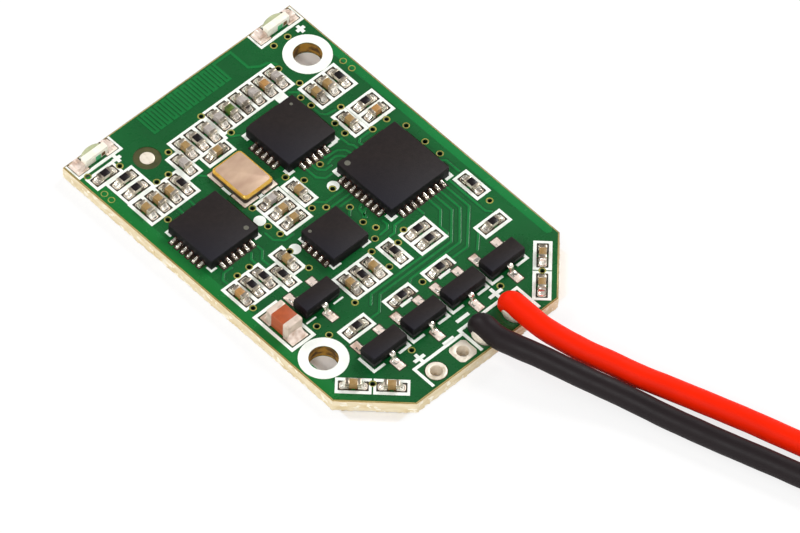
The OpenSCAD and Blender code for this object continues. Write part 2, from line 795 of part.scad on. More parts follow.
// Standing carrier and the white block in front of it, one moulding
module lamp_carrier(x) {
    deep = lamp_back + lamp_block;
    taper = 0.06;
    color("#f2f0e6") translate([x, lamp_y, seat_z]) linear_extrude(lamp_h)
        polygon([[-lamp_block_w / 2, 0], [lamp_block_w / 2, 0],
                 [lamp_block_w / 2, lamp_back], [lamp_block_w / 2 - taper, deep],
                 [taper - lamp_block_w / 2, deep], [-lamp_block_w / 2, lamp_back]]);
}

// Clear lens: a slice of an upright cylinder, in front of the block
module lamp_lens(x) {
    rise = 0.08;
    half = lamp_lens_w / 2;
    r = (half * half + lamp_lens_reach * lamp_lens_reach) / (2 * lamp_lens_reach);
    color("#e8e6a0") translate([x, lamp_y + lamp_back + lamp_block, seat_z + rise])
        linear_extrude(lamp_h - 2 * rise) intersection() {
            translate([0, lamp_lens_reach - r]) circle(r);
            translate([-half, 0]) square([lamp_lens_w, lamp_lens_reach]);
        }
}

// Metal ends beside the block, with the solder that slopes down from them along the lands
module lamp_ends(x) {
    side = lamp_block_w / 2;
    reach = lamp_w / 2 - side;
    toe = 0.06;
    color(solder) translate([x, lamp_y, seat_z]) for (s = [-1, 1]) scale([s, 1, 1])
        translate([side, 0, 0]) {
            cube([reach, lamp_back, lamp_end_h]);
            translate([0, lamp_back, 0]) rotate([90, 0, 90]) linear_extrude(reach) difference() {
                square([lamp_end_h, lamp_end_h]);
                translate([lamp_end_h, lamp_end_h]) circle(lamp_end_h - toe);
            }
        }
}

// Small parts

module small_body(h) {
    middle = small_l - 2 * small_end;
    translate([-middle / 2, -small_w / 2, seat_z]) cube([middle, small_w, h]);
}

module small_ends(h) {
    for (s = [-1, 1]) scale([s, 1, 1])
        translate([small_l / 2 - small_end, -small_w / 2, seat_z]) cube([small_end, small_w, h]);
}

module resistors() {
    color("#2b2224") small_parts("R") small_body(resistor_h);
}

module resistor_ends() {
    color("#cfcbc2") small_parts("R") small_ends(resistor_h);
}

module tan_capacitors() {
    color("#b3925e") small_parts("T") small_body(capacitor_h);
}

module grey_capacitors() {
    color("#bdb5ae") small_parts("G") small_body(capacitor_h);
}

module orange_capacitors() {
    color("#c08a4a") small_parts("O") small_body(capacitor_h);
}

module green_capacitor() {
    color("#6b9a2f") small_parts("N") small_body(capacitor_h);
}

module capacitor_ends() {
    color("#cfcbc2") small_parts("TGON") small_ends(capacitor_h);
}

// Concave solder between a part's end and its land
module fillet(run, wide, high) {
    toe = 0.04;
    rotate([90, 0, 0]) linear_extrude(wide, center = true) difference() {
        square([run, high]);
        translate([run, high]) scale([(run - toe) / (high - toe), 1]) circle(high - toe);
    }
}

module solder_fillets() {
    run = (small_span - small_l) / 2;
    color(solder) {
        translate([0, 0, seat_z]) small_parts("R") for (s = [-1, 1]) scale([s, 1, 1])
            translate([small_l / 2, 0, 0]) fillet(run, small_w, resistor_h * 0.8);
        translate([0, 0, seat_z]) small_parts("TGON") for (s = [-1, 1]) scale([s, 1, 1])
            translate([small_l / 2, 0, 0]) fillet(run, small_w, capacitor_h * 0.75);
        translate([bulk_at[0], bulk_at[1], seat_z]) for (s = [-90, 90]) rotate(s)
            translate([bulk_l / 2, 0, 0]) fillet(bulk_land_end - bulk_l / 2, bulk_w, bulk_h * 0.6);
    }
}

module bulk_capacitor() {
    middle = bulk_l - 2 * bulk_end;
    color("#b96340") translate([bulk_at[0] - bulk_w / 2, bulk_at[1] - middle / 2, seat_z])
        cube([bulk_w, middle, bulk_h]);
}

module bulk_capacitor_ends() {
    color("#b9a9a0") translate([bulk_at[0], bulk_at[1], seat_z]) for (s = [-1, 1]) scale([1, s, 1])
        translate([-bulk_w / 2, bulk_l / 2 - bulk_end, 0]) cube([bulk_w, bulk_end, bulk_h]);
}

// Battery leads

// Filled hole, ring and solder cone; the lead's end stands against the cone
module lead_joint(x, start) {
    color(solder) translate([x, hole_y]) {
        rotate_extrude() polygon([
            [0, mask_t / 2], [joint_ring_d / 2, mask_t / 2], [joint_ring_d / 2, core_bottom],
            [lead_hole_d / 2 + 0.05, core_bottom], [lead_hole_d / 2 + 0.05, core_top],
            [joint_ring_d / 2, core_top], [joint_ring_d / 2, board_t], [0, board_t]]);
        difference() {
            translate([0, 0, board_t]) rotate_extrude() polygon([
                [0, 0], [joint_ring_d / 2, 0], [joint_ring_d / 2 - 0.1, 0.1], [0.55, 0.3],
                [0.38, joint_h], [0, joint_h + 0.1]]);
            translate([-2, start - hole_y - 4, board_t]) cube([4, 4, 4]);
        }
    }
}

module lead_joints() {
    lead_joint(joint_holes_x[0], black_route[0][1]);
    lead_joint(joint_holes_x[1], red_route[0][1]);
}

function unit(v) = v / norm(v);

// One ring of a lead, square to the route at point i
function ring(route, i, sides) =
    let (last = len(route) - 1,
         along = unit(route[min(i + 1, last)] - route[max(i - 1, 0)]),
         across = unit(cross(along, [0, 0, 1])),
         up = cross(across, along),
         turn = 360 / sides)
    [for (k = [0 : sides - 1]) route[i] + lead_d / 2 * (cos(k * turn) * across + sin(k * turn) * up)];

module lead(route) {
    n = len(route);
    s = lead_sides;
    points = [for (i = [0 : n - 1]) each ring(route, i, s)];
    sides = [for (i = [0 : n - 2], k = [0 : s - 1])
        [i * s + k, i * s + (k + 1) % s, (i + 1) * s + (k + 1) % s, (i + 1) * s + k]];
    start = [for (k = [0 : s - 1]) s - 1 - k];
    finish = [for (k = [0 : s - 1]) (n - 1) * s + k];
    polyhedron(points, concat([start], sides, [finish]));
}

module red_lead() {
    color("#f8210b") lead(red_route);
}

module black_lead() {
    color("#2a2527") lead(black_route);
}

// Plug: housing with two sockets, a latch rib and a window over each contact
module plug_housing() {
    color("#f1ede2") translate([plug_at[0], plug_at[1], 0]) {
        difference() {
            union() {
                translate([-plug_w / 2, 0, 0]) cube([plug_w, plug_l, plug_h]);
                for (s = [-1, 1])
                    translate([s * (plug_w / 2 - plug_rib / 2) - plug_rib / 2, 1, plug_h - eps])
                    cube([plug_rib, plug_l - 2, plug_rib / 2 + eps]);
            }
            for (s = [-1, 1]) translate([s * plug_pitch / 2, 0, 0]) {
                translate([-plug_socket / 2, plug_l - plug_depth, plug_at[2] - plug_socket / 2])
                    cube([plug_socket, plug_depth + 1, plug_socket]);
                translate([-0.35, plug_l - plug_depth + 0.8, plug_at[2]]) cube([0.7, 1.4, plug_h]);
            }
        }
    }
}

// Folded spring contact lying on the floor of each socket
module plug_contacts() {
    floor_z = plug_at[2] - plug_socket / 2;
    long = plug_depth - 0.6;
    color("#d8c98a") for (s = [-1, 1])
        translate([plug_at[0] + s * plug_pitch / 2, plug_at[1] + plug_l - plug_depth, floor_z])
            rotate([90, 0, 90]) linear_extrude(plug_socket - 2 * plug_wall / 2, center = true)
                polygon([[0, 0], [long, 0], [long, contact_t], [long - 1.2, 0.45], [long - 1.4, 0.45],
                         [long - 2.6, contact_t], [0, contact_t]]);
}

laminate();
solder_mask_top();
solder_mask_bottom();
printed_lines();
antenna();
tracks();
lands();
vias();
open_lead_holes();
fiducial();
controller_chip();
controller_terminals();
radio_chip();
radio_terminals();
gyro_chip();
gyro_terminals();
accelerometer_chip();
accelerometer_terminals();
crystal_base();
crystal_seal_ring();
crystal_lid();
regulator_body();
regulator_feet();
motor_transistor(0);  // motor_transistor_1
motor_transistor(1);  // motor_transistor_2
motor_transistor(2);  // motor_transistor_3
motor_transistor(3);  // motor_transistor_4
transistor_feet(0);  // transistor_feet_1
transistor_feet(1);  // transistor_feet_2
transistor_feet(2);  // transistor_feet_3
transistor_feet(3);  // transistor_feet_4
lamp_carrier(lamps_x[0]);  // lamp_carrier_left
lamp_lens(lamps_x[0]);  // lamp_lens_left
lamp_ends(lamps_x[0]);  // lamp_ends_left
lamp_carrier(lamps_x[1]);  // lamp_carrier_right
lamp_lens(lamps_x[1]);  // lamp_lens_right
lamp_ends(lamps_x[1]);  // lamp_ends_right
resistors();
resistor_ends();
tan_capacitors();
grey_capacitors();
orange_capacitors();
green_capacitor();
capacitor_ends();
solder_fillets();
bulk_capacitor();
bulk_capacitor_ends();
lead_joints();
red_lead();
black_lead();
plug_housing();
plug_contacts();
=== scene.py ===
import bpy
import bmesh
import math
import random
from mathutils import Matrix, Vector, noise


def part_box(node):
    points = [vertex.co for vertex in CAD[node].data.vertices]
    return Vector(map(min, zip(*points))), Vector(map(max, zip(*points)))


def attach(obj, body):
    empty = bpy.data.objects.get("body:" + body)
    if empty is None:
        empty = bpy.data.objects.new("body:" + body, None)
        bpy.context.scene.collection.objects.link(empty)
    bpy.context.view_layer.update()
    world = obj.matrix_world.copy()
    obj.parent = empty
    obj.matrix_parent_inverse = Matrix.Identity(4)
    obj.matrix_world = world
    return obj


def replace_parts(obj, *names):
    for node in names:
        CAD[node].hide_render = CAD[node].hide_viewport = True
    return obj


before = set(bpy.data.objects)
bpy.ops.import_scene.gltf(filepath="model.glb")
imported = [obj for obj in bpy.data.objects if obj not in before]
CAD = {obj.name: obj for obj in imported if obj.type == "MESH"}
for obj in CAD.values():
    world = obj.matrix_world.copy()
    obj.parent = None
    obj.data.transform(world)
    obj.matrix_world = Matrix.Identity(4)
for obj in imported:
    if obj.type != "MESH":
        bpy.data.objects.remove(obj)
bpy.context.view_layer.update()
MM = 0.001


# Camera, at the photograph's place

PHOTO_WIDTH = 800
FOCAL_PIXELS = 9988.5
CAMERA_AT = Vector((-267.75, -272.09, 493.05)) * MM
CAMERA_AIM = Vector((0.494, -5.745, 1.0)) * MM
CAMERA_ROLL = math.radians(2.2)


def new_object(name, data):
    made = bpy.data.objects.new(name, data)
    bpy.context.scene.collection.objects.link(made)
    return made


def add_camera():
    data = bpy.data.cameras.new("camera")
    data.sensor_fit = "HORIZONTAL"
    data.lens = FOCAL_PIXELS * data.sensor_width / PHOTO_WIDTH
    data.clip_start = 0.01
    camera = new_object("camera", data)
    turn = (CAMERA_AIM - CAMERA_AT).to_track_quat("-Z", "Y").to_matrix()
    turn = turn @ Matrix.Rotation(CAMERA_ROLL, 3, "Z")
    camera.matrix_world = Matrix.Translation(CAMERA_AT) @ turn.to_4x4()
    bpy.context.scene.camera = camera


# Shapes: lists of corners and faces, put together before they become a piece

class Shape:
    def __init__(self, verts=(), faces=()):
        self.verts = [Vector(v) for v in verts]
        self.faces = [list(f) for f in faces]
        self.marks = [0] * len(self.faces)

    def join(self, other, place=None, mark=None):
        base = len(self.verts)
        self.verts += [place @ v if place else v.copy() for v in other.verts]
        self.faces += [[base + i for i in f] for f in other.faces]
        self.marks += other.marks if mark is None else [mark] * len(other.faces)


def loft(rings, closed=True, cap_start=True, cap_end=True):
    """A skin through rings of equally many points."""
    n = len(rings[0])
    last = (len(rings) - 1) * n
    faces = []
    for i in range(0, last, n):
        for k in range(n if closed else n - 1):
            j = (k + 1) % n
            faces.append([i + k, i + j, i + n + j, i + n + k])
    if cap_start:
        faces.append(list(range(n))[::-1])
    if cap_end:
        faces.append([last + k for k in range(n)])
    return Shape([p for ring in rings for p in ring], faces)


def block(size, at=(0, 0, 0), bevel=0.01, steps=1):
    """A block standing on z = at.z, its edges rounded by bevel, in millimetres."""
    bm = bmesh.new()
    bmesh.ops.create_cube(bm, size=1)
    for v in bm.verts:
        v.co = Vector((v.co.x * size[0], v.co.y * size[1], (v.co.z + 0.5) * size[2]))
        v.co += Vector(at)
    bmesh.ops.bevel(bm, geom=bm.edges[:], offset=bevel, segments=steps, profile=0.5, affect="EDGES")
    made = Shape([v.co for v in bm.verts], [[v.index for v in f.verts] for f in bm.faces])
    bm.free()
    return made


def piece(name, shape, materials, angle=35):
    """Turns a shape in millimetres into an object that rides on the board."""
    mesh = bpy.data.meshes.new(name)
    mesh.from_pydata([v * MM for v in shape.verts], [], shape.faces)
    for m in materials if isinstance(materials, list) else [materials]:
        mesh.materials.append(m)
    mesh.polygons.foreach_set("material_index", shape.marks)
    mesh.polygons.foreach_set("use_smooth", [True] * len(mesh.polygons))
    mesh.set_sharp_from_angle(angle=math.radians(angle))
    mesh.update()
    made = new_object(name, mesh)
    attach(made, "root")
    return made


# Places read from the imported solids

def islands(node):
    """The corners of each separate solid of a node, in millimetres."""
    mesh = CAD[node].data
    keys = {}
    index = [keys.setdefault(tuple(round(c, 7) for c in v.co), len(keys)) for v in mesh.vertices]
    parent = list(range(len(keys)))

    def root(i):
        while parent[i] != i:
            parent[i] = parent[parent[i]]
            i = parent[i]
        return i

    for p in mesh.polygons:
        first = root(index[p.vertices[0]])
        for v in p.vertices[1:]:
            parent[root(index[v])] = first
    groups = {}
    for key, i in keys.items():
        groups.setdefault(root(i), []).append(Vector(key) / MM)
    return sorted(groups.values(), key=lambda g: (round(g[0].x, 3), round(g[0].y, 3)))


def box_of(points):
    return [Vector([pick(p[i] for p in points) for i in range(3)]) for pick in (min, max)]


def middle_of(points):
    low, high = box_of(points)
    return (low + high) / 2


def mm_box(node):
    low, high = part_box(node)
    return low / MM, high / MM


# Materials

def linear(code):
    """An sRGB hex colour as linear red, green, blue, alpha."""
    parts = [int(code[i:i + 2], 16) / 255 for i in (0, 2, 4)]
    return [c / 12.92 if c <= 0.04045 else ((c + 0.055) / 1.055) ** 2.4 for c in parts] + [1.0]


def tone(colour, factor):
    return [min(1.0, c * factor) for c in colour[:3]] + [1.0]


class Net:
    """A node tree, with short ways to add nodes and wire them."""

    def __init__(self, tree):
        self.tree = tree

    def put(self, socket, value):
        """Wires another node's output to a socket, or sets the socket's own value."""
        if isinstance(value, bpy.types.NodeSocket):
            self.tree.links.new(value, socket)
        else:
            socket.default_value = value

    def node(self, kind, **values):
        """A new node; what isn't the name of an input is a setting of the node."""
        made = self.tree.nodes.new("ShaderNode" + kind)
        for name, value in values.items():
            socket = name.replace("_", " ")
            if socket in made.inputs:
                self.put(made.inputs[socket], value)
            else:
                setattr(made, name, value)
        return made

    def math(self, operation, *values):
        made = self.node("Math", operation=operation)
        for socket, value in zip(made.inputs, values):
            self.put(socket, value)
        return made.outputs[0]

    def vector(self, operation, a, b=None, result="Vector"):
        made = self.node("VectorMath", operation=operation)
        self.put(made.inputs[0], a)
        if b is not None:
            self.put(made.inputs["Scale" if operation == "SCALE" else 1], b)
        return made.outputs[result]

    def split(self, vector):
        return self.node("SeparateXYZ", Vector=vector).outputs

    def span(self, value, start, end, low=0.0, high=1.0):
        """Takes a value from the range start..end to the range low..high."""
        made = self.node("MapRange", Value=value, From_Min=start, From_Max=end, To_Min=low, To_Max=high)
        return made.outputs["Result"]

    def ramp(self, fac, stops):
        made = self.node("ValToRGB", Fac=fac)
        line = made.color_ramp
        while len(line.elements) < len(stops):
            line.elements.new(0.5)
        for element, (at, colour) in reversed(list(zip(line.elements, stops))):
            element.position = at
            element.color = colour
        return made.outputs["Color"]


class Finish(Net):
    """A principled material whose colour, roughness and bump come from noise in the frame."""

    def __init__(self, name, colour, rough, metal=0.0, **sockets):
        self.mat = bpy.data.materials.new(name)
        self.mat.use_nodes = True
        super().__init__(self.mat.node_tree)
        self.shader = self.tree.nodes["Principled BSDF"]
        self.colour = linear(colour)
        sockets.update(Base_Color=self.colour, Roughness=rough, Metallic=metal)
        for socket, value in sockets.items():
            self.shader.inputs[socket.replace("_", " ")].default_value = value
        self.place = self.node("TexCoord").outputs["Object"]

    def noise(self, scale, detail=3.0, stretch=None):
        place = self.place
        if stretch:
            place = self.node("Mapping", Vector=place, Scale=stretch).outputs["Vector"]
        return self.node("TexNoise", Scale=scale, Detail=detail, Vector=place).outputs["Fac"]

    def spots(self, scale, detail, start, end, most, stretch=None):
        """Noise that is nothing below start and reaches its most at end."""
        full = (most, most, most, 1)
        return self.ramp(self.noise(scale, detail, stretch), [(start, (0, 0, 0, 1)), (end, full)])

    def paint(self, colour_output):
        self.colour = colour_output
        self.put(self.shader.inputs["Base Color"], colour_output)
        return self

    def mottle(self, scale, spread=0.2, detail=3.0, other=None, stretch=None):
        """Colour that drifts between a darker and a lighter tone, or to another colour."""
        low = tone(self.colour, 1 - spread)
        high = linear(other) if other else tone(self.colour, 1 + spread)
        return self.paint(self.ramp(self.noise(scale, detail, stretch), [(0.3, low), (0.7, high)]))

    def blend_in(self, fac, colour):
        """Mixes another colour over what is there."""
        mix = self.node("Mix", data_type="RGBA", Factor=fac, A=self.colour, B=linear(colour))
        return self.paint(mix.outputs[2])

    def uneven(self, scale, low, high):
        rough = self.span(self.noise(scale, 2.0), 0.0, 1.0, low, high)
        self.put(self.shader.inputs["Roughness"], rough)
        return self

    def bump(self, scale, depth_mm, detail=3.0, stretch=None):
        height = self.noise(scale, detail, stretch)
        made = self.node("Bump", Distance=depth_mm * MM, Strength=1.0, Height=height)
        self.put(self.shader.inputs["Normal"], made.outputs["Normal"])
        return self


def dress(node, material):
    """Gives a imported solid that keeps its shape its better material."""
    mesh = CAD[node].data
    for i in range(len(mesh.materials)):
        mesh.materials[i] = material
    if not mesh.materials:
        mesh.materials.append(material)


def solder_finish(name, colour, rough, dark="6b5a4a", metal=1.0, depth=0.010):
    """Bright metal with a few brownish patches, partly dull metal and partly painted dark reflection."""
    made = Finish(name, colour, rough, metal=metal).mottle(1400, 0.08)
    # brownish patches: partly dull metal, partly painted dark reflection
    made.blend_in(made.spots(1300, 2.0, 0.52, 0.66, 0.7), dark)
    return made.uneven(1600, rough - 0.06, rough + 0.12).bump(600, depth, 1.0).mat


def mask_finish(name, colour, lit_edge_colour, rough):
    """Green resist, with painted light: lighter green towards the left edge of the board, over a faintly
    uneven face.
    """
    made = Finish(name, colour, rough, Specular_IOR_Level=0.45).mottle(170, 0.16)
    across = made.split(made.place)["X"]
    # painted light: the strip along the left edge is blended to a lighter green
    made.blend_in(made.span(across, -8.0 * MM, -9.7 * MM), lit_edge_colour)
    return made.uneven(1500, rough - 0.05, rough + 0.08).bump(1400, 0.006, 2.0).mat


def mould_finish():
    """Brownish black moulding with painted shade: bluish black towards its lower left corner and blacker
    down its sides.
    """
    made = Finish("mould", "1e1716", 0.52, Specular_IOR_Level=0.22).mottle(3500, 0.2, 8.0)
    part = made.split(made.node("TexCoord").outputs["Generated"])
    # painted shade: darker and bluish towards the lower left corner of the top
    corner = made.math("ADD", part["X"], part["Y"])
    made.blend_in(made.span(corner, 1.2, 0.2), "15131c")
    # painted shade: blacker down the sides
    made.blend_in(made.span(part["Z"], 0.93, 0.8), "0b090c")
    return made.uneven(6000, 0.44, 0.62).bump(14000, 0.007, 5.0).mat


# the third colour of each resist is painted light on its left edge strip
mask_green = mask_finish("mask green", "0b5526", "0f6426", 0.26)
mask_back = Finish("mask back", "126a2e", 0.3).mottle(300, 0.1).bump(2500, 0.004).mat
mask_track = mask_finish("mask over copper", "116f34", "116a29", 0.24)
mask_gap = Finish("mask beside copper", "094a22", 0.28).mottle(500, 0.12).bump(1400, 0.004).mat
print_ink = Finish("white ink", "eff3ec", 0.55).mottle(1800, 0.06).bump(5000, 0.008).mat
solder = solder_finish("solder", "fff4e8", 0.2, "5a4636")
tin = solder_finish("tinned end", "dccfbc", 0.26, "6b5f50", 1.0)
end_metal = solder_finish("thick tinned end", "dccabb", 0.45, "b09c8a", 0.3)
land_tin = solder_finish("land", "e9d9c9", 0.42, "a5876b", 0.2)
lamp_tin = solder_finish("lamp end", "f2e0d4", 0.36, "b8937a", 0.35, 0.003)
pad_tin = solder_finish("open pad", "ece2d2", 0.5, "b9a88c", 0.35)
ring_gold = (Finish("via ring", "cfc766", 0.5, metal=0.1)
             .mottle(3000, 0.25, other="86802f").bump(6000, 0.006).mat)
via_green = Finish("mask in a via", "0e3a1a", 0.35).mottle(3000, 0.3).bump(3000, 0.006).mat
# painted shade: the bore is coloured near black
via_bore_shade = Finish("via bore", "0c0e06", 0.6).mottle(3000, 0.3).mat
# painted shade: the bare laminate round the lands and in the chip slots is coloured dark brown
pocket_shade = Finish("pad pocket", "1e170b", 0.45).mottle(2600, 0.3, other="3a3016").bump(3000, 0.01).mat
slot_floor_shade = Finish("slot floor", "1c0b06", 0.45).mottle(2600, 0.3, other="341c10").bump(3000, 0.01).mat
# painted shade: bare laminate coloured dark olive
bare_ring_shade = (Finish("bare laminate ring", "3a3d16", 0.45)
             .mottle(1600, 0.2, other="4c4a22").bump(3000, 0.006).mat)
bare_copper = (Finish("bare terminal", "7a3f26", 0.35, metal=0.6)
               .mottle(2500, 0.3, other="3a1a10").bump(3000, 0.006).mat)
mould = mould_finish()
film = (Finish("resistor film", "140d10", 0.34, Specular_IOR_Level=0.3)
        .mottle(5000, 0.2).bump(8000, 0.003).mat)
alumina = Finish("alumina", "d9d2c0", 0.5).mottle(4000, 0.08).bump(7000, 0.004).mat
red_skin = (Finish("red insulation", "f02200", 0.5, Specular_IOR_Level=0.08)
            .mottle(260, 0.06).uneven(1200, 0.44, 0.58).bump(900, 0.02, 4.0).mat)
black_skin = (Finish("black insulation", "170e11", 0.5, Specular_IOR_Level=0.22)
              .mottle(260, 0.14).uneven(1200, 0.42, 0.58).bump(900, 0.02, 4.0).mat)
nylon = Finish("plug nylon", "f1ede2", 0.45).mottle(600, 0.03).bump(5000, 0.004).mat
spring_metal = solder_finish("spring metal", "d8c98a", 0.3)
gold = (Finish("gold seal", "ffd46a", 0.3, metal=0.6)
        .mottle(3000, 0.12, other="efb040").bump(3000, 0.006).mat)
lid_metal = (Finish("lid metal", "be9c84", 0.5, metal=0.2)
             .mottle(700, 0.1, 2.0, other="ccae94", stretch=(1, 2, 1))
             .bump(3000, 0.004, stretch=(1, 14, 1)).mat)
tray = Finish("crystal tray", "2a211b", 0.5).mottle(3000, 0.3, other="4d3d2e").bump(5000, 0.01).mat
tan = Finish("tan ceramic", "a98a58", 0.4).mottle(4000, 0.12, other="8f7040").bump(8000, 0.004).mat
grey = Finish("grey ceramic", "a09690", 0.4).mottle(4000, 0.12, other="b3aca6").bump(8000, 0.004).mat
orange = Finish("orange ceramic", "a87c46", 0.4).mottle(4000, 0.12).bump(8000, 0.004).mat
green = Finish("green ceramic", "2c3a12", 0.4).mottle(2600, 0.2, other="5d7a24").bump(8000, 0.004).mat
rust = Finish("rust ceramic", "a64c22", 0.48).mottle(3000, 0.12).bump(7000, 0.006).mat
white_resin = (Finish("white resin", "fbf9ee", 0.38)
               .mottle(2200, 0.05, other="eee9d6").bump(5000, 0.004).mat)
clear_resin = (Finish("clear resin", "e3e6bc", 0.12, Transmission_Weight=0.3, IOR=1.45)
               .mottle(1100, 0.1, other="b9c49a").mat)
mark_green = Finish("polarity mark", "3fa46c", 0.4).mottle(3000, 0.15).mat
mark_brown = Finish("plated hollow", "6a4c22", 0.4, metal=0.5).mottle(3000, 0.2).mat
chip_dot = Finish("first pin mark", "5c5b50", 0.6).mottle(6000, 0.12).bump(9000, 0.004).mat
ALONG_CUT = (1, 1, 4)
fibre = (Finish("cut glass fibre", "f5e9cb", 0.75)
         .mottle(900, 0.12, 8.0, other="d6c398", stretch=ALONG_CUT)
         .bump(1300, 0.04, 6.0, stretch=ALONG_CUT).mat)
amber = Finish("bare rim", "a98a3c", 0.5).mottle(500, 0.25, other="c9b478").bump(1500, 0.01).mat


HOLE_WALL_REACH = 1.1


def laminate_finish():
    """Cream on the cut edge, amber below the mask and in the stained mounting holes, level faces painted
    dark brown as shade.
    """
    made = Finish("laminate", "efe5cc", 0.7)
    made.mottle(900, 0.1, 6.0, other="fbf6e6", stretch=ALONG_CUT)
    made.blend_in(made.spots(1300, 6.0, 0.58, 0.7, 0.5, (1, 1, 5)), "b9a37a")
    height = made.split(made.place)["Z"]
    rim_low, rim_high = (BOARD_HIGH.z - 0.16) * MM, (BOARD_HIGH.z - 0.02) * MM
    made.blend_in(made.span(height, rim_low, rim_high), "c9a85a")
    for at in MOUNT_HOLES:
        flat = made.vector("MULTIPLY", made.place, (1, 1, 0))
        far = made.vector("DISTANCE", flat, (at[0] * MM, at[1] * MM, 0), "Value")
        near = made.math("LESS_THAN", far, HOLE_WALL_REACH * MM)
        made.blend_in(near, "a87c20")
        stains = made.spots(1500, 4.0, 0.42, 0.6, 0.9, (1, 1, 2))
        made.blend_in(made.math("MULTIPLY", stains, near), "3d2a0c")
    # painted shade: the level faces are dark brown where the bare laminate lies in shade
    normal = made.node("NewGeometry").outputs["Normal"]
    level = made.math("ABSOLUTE", made.split(normal)["Z"])
    made.blend_in(made.math("GREATER_THAN", level, 0.8), "3a3217")
    return made.bump(1300, 0.05, 6.0, stretch=ALONG_CUT).mat


# Battery leads, first of all pieces

LEAD_LIES = 0.77
BLACK_ROUTE = [
    (0.75, -13.2, 1.8), (0.75, -14.3, 1.8), (1.1, -15.6, 1.85), (1.65, -17.1, 1.8), (2.25, -18.7, 1.6),
    (2.9, -20.3, 1.35), (3.55, -21.8, 1.1), (4.15, -23.4, 0.9), (4.65, -25.0, 0.8), (5.2, -26.7),
    (5.75, -28.4), (6.3, -30.0), (7.1, -32.3), (7.8, -34.4), (8.7, -36.6),
    (10.1, -38.6), (12.1, -40.1), (14.5, -40.9), (17.0, -40.9),
    (19.5, -40.0), (21.7, -38.3), (23.3, -36.1, 0.9), (24.2, -33.8, 1.3),
    (24.4, -32.2, 1.5), (24.4, -31.0, 1.5)]
RED_ROUTE = [
    (3.3, -13.2, 1.8), (3.3, -14.4, 1.8), (3.3, -15.6, 1.85), (3.6, -17.0, 1.75), (4.15, -18.6, 1.5),
    (4.85, -20.2, 1.25), (5.5, -21.8, 1.0), (6.25, -23.5, 0.85), (7.05, -25.5),
    (7.7, -27.3), (8.3, -29.0), (9.05, -31.3), (9.7, -33.2),
    (10.5, -35.2), (11.9, -37.0), (13.9, -38.2), (16.2, -38.5),
    (18.5, -37.9), (20.4, -36.5), (21.7, -34.6, 0.9), (22.25, -33.2, 1.3),
    (22.4, -32.1, 1.5), (22.4, -31.0, 1.5)]
LEAD_D = 1.5
LEAD_SIDES = 24
LEAD_FOOT = 1.25


def smooth_line(points, steps):
    """A Catmull-Rom curve through the points; one without a height lies on the floor."""
    pts = [Vector(p if len(p) > 2 else (*p, LEAD_LIES)) for p in points]
    pts = [2 * pts[0] - pts[1]] + pts + [2 * pts[-1] - pts[-2]]
    out = []
    for i in range(1, len(pts) - 2):
        a, b, c, d = pts[i - 1:i + 3]
        for s in range(steps):
            t = s / steps
            out.append(0.5 * (2 * b + (c - a) * t + (2 * a - 5 * b + 4 * c - d) * t * t
                              + (3 * b - a - 3 * c + d) * t ** 3))
    return out + [pts[-2]]


def tube_rings(line, radii, sides):
    """Rings square to a line, one radius for each point."""
    rings = []
    for i, p in enumerate(line):
        along = (line[min(i + 1, len(line) - 1)] - line[max(i - 1, 0)]).normalized()
        across = along.cross(Vector((0, 0, 1))).normalized()
        up = across.cross(along)
        rings.append([p + radii[i] * (math.cos(a) * across + math.sin(a) * up)
                      for a in [2 * math.pi * k / sides for k in range(sides)]])
    return rings


def add_lead(name, route, material, node, seed):
    """Insulated wire whose end bends over the pad and comes down on it."""
    line = smooth_line(route, 6)
    wobble = random.Random(seed)
    radii = [LEAD_D / 2 * (1 + 0.006 * math.sin(i * 0.9 + seed) + wobble.uniform(-0.004, 0.004))
             for i in range(len(line))]
    rings = tube_rings(line, radii, LEAD_SIDES)
    pivot = line[0] - Vector((0, 0, LEAD_D / 2))
    bend = []
    for angle in range(84, 0, -12):
        turned = Matrix.Rotation(-math.radians(angle), 3, "X")
        narrower = 1 - 0.10 * (angle / 90) ** 2
        bend.append([pivot + turned @ (q - pivot) * narrower for q in rings[0]])
    mid = sum(bend[0], Vector()) / len(bend[0])
    tucked = [Vector((mid.x + (q.x - mid.x) * 0.96, mid.y + (q.y - mid.y) * 0.96,
                      LEAD_FOOT + (q.z - mid.z) * 0.2)) for q in bend[0]]
    made = piece(name, loft([tucked] + bend + rings), material, angle=60)
    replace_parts(made, node)
    return made, line


add_camera()
dress("plug_housing", nylon)
dress("plug_contacts", spring_metal)
for lead, line in (add_lead("red_insulation", RED_ROUTE, red_skin, "red_lead", 1),
                   add_lead("black_insulation", BLACK_ROUTE, black_skin, "black_lead", 2)):
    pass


# Studio

BOARD_LOW, BOARD_HIGH = mm_box("laminate")
GLOSS_SHARE = 0.2
FLOOR_HALF = 3
FLOOR_LIFT = 0.78
FLOOR_TUCK = 0.3
WHITE = (1, 1, 1, 1)
MIRROR_WAY = (0.43, 0.43, 0.793)
TENT = [(0.0, (0.85, 0.84, 0.82, 1)), (0.3, (0.8, 0.788, 0.776, 1)), (0.7, (0.75, 0.73875, 0.7275, 1)),
        (0.8, (0.22, 0.2167, 0.2134, 1)), (0.92, (0.05, 0.045, 0.045, 1))]


def backdrop_share(net):
    """How much of the plain backdrop a ray sees: all for the camera and clear glass, a share for gloss."""
    path = net.node("LightPath").outputs
    sheen = net.math("MULTIPLY_ADD", path["Is Glossy Ray"], GLOSS_SHARE, path["Is Transmission Ray"])
    return net.math("MAXIMUM", path["Is Camera Ray"], sheen)


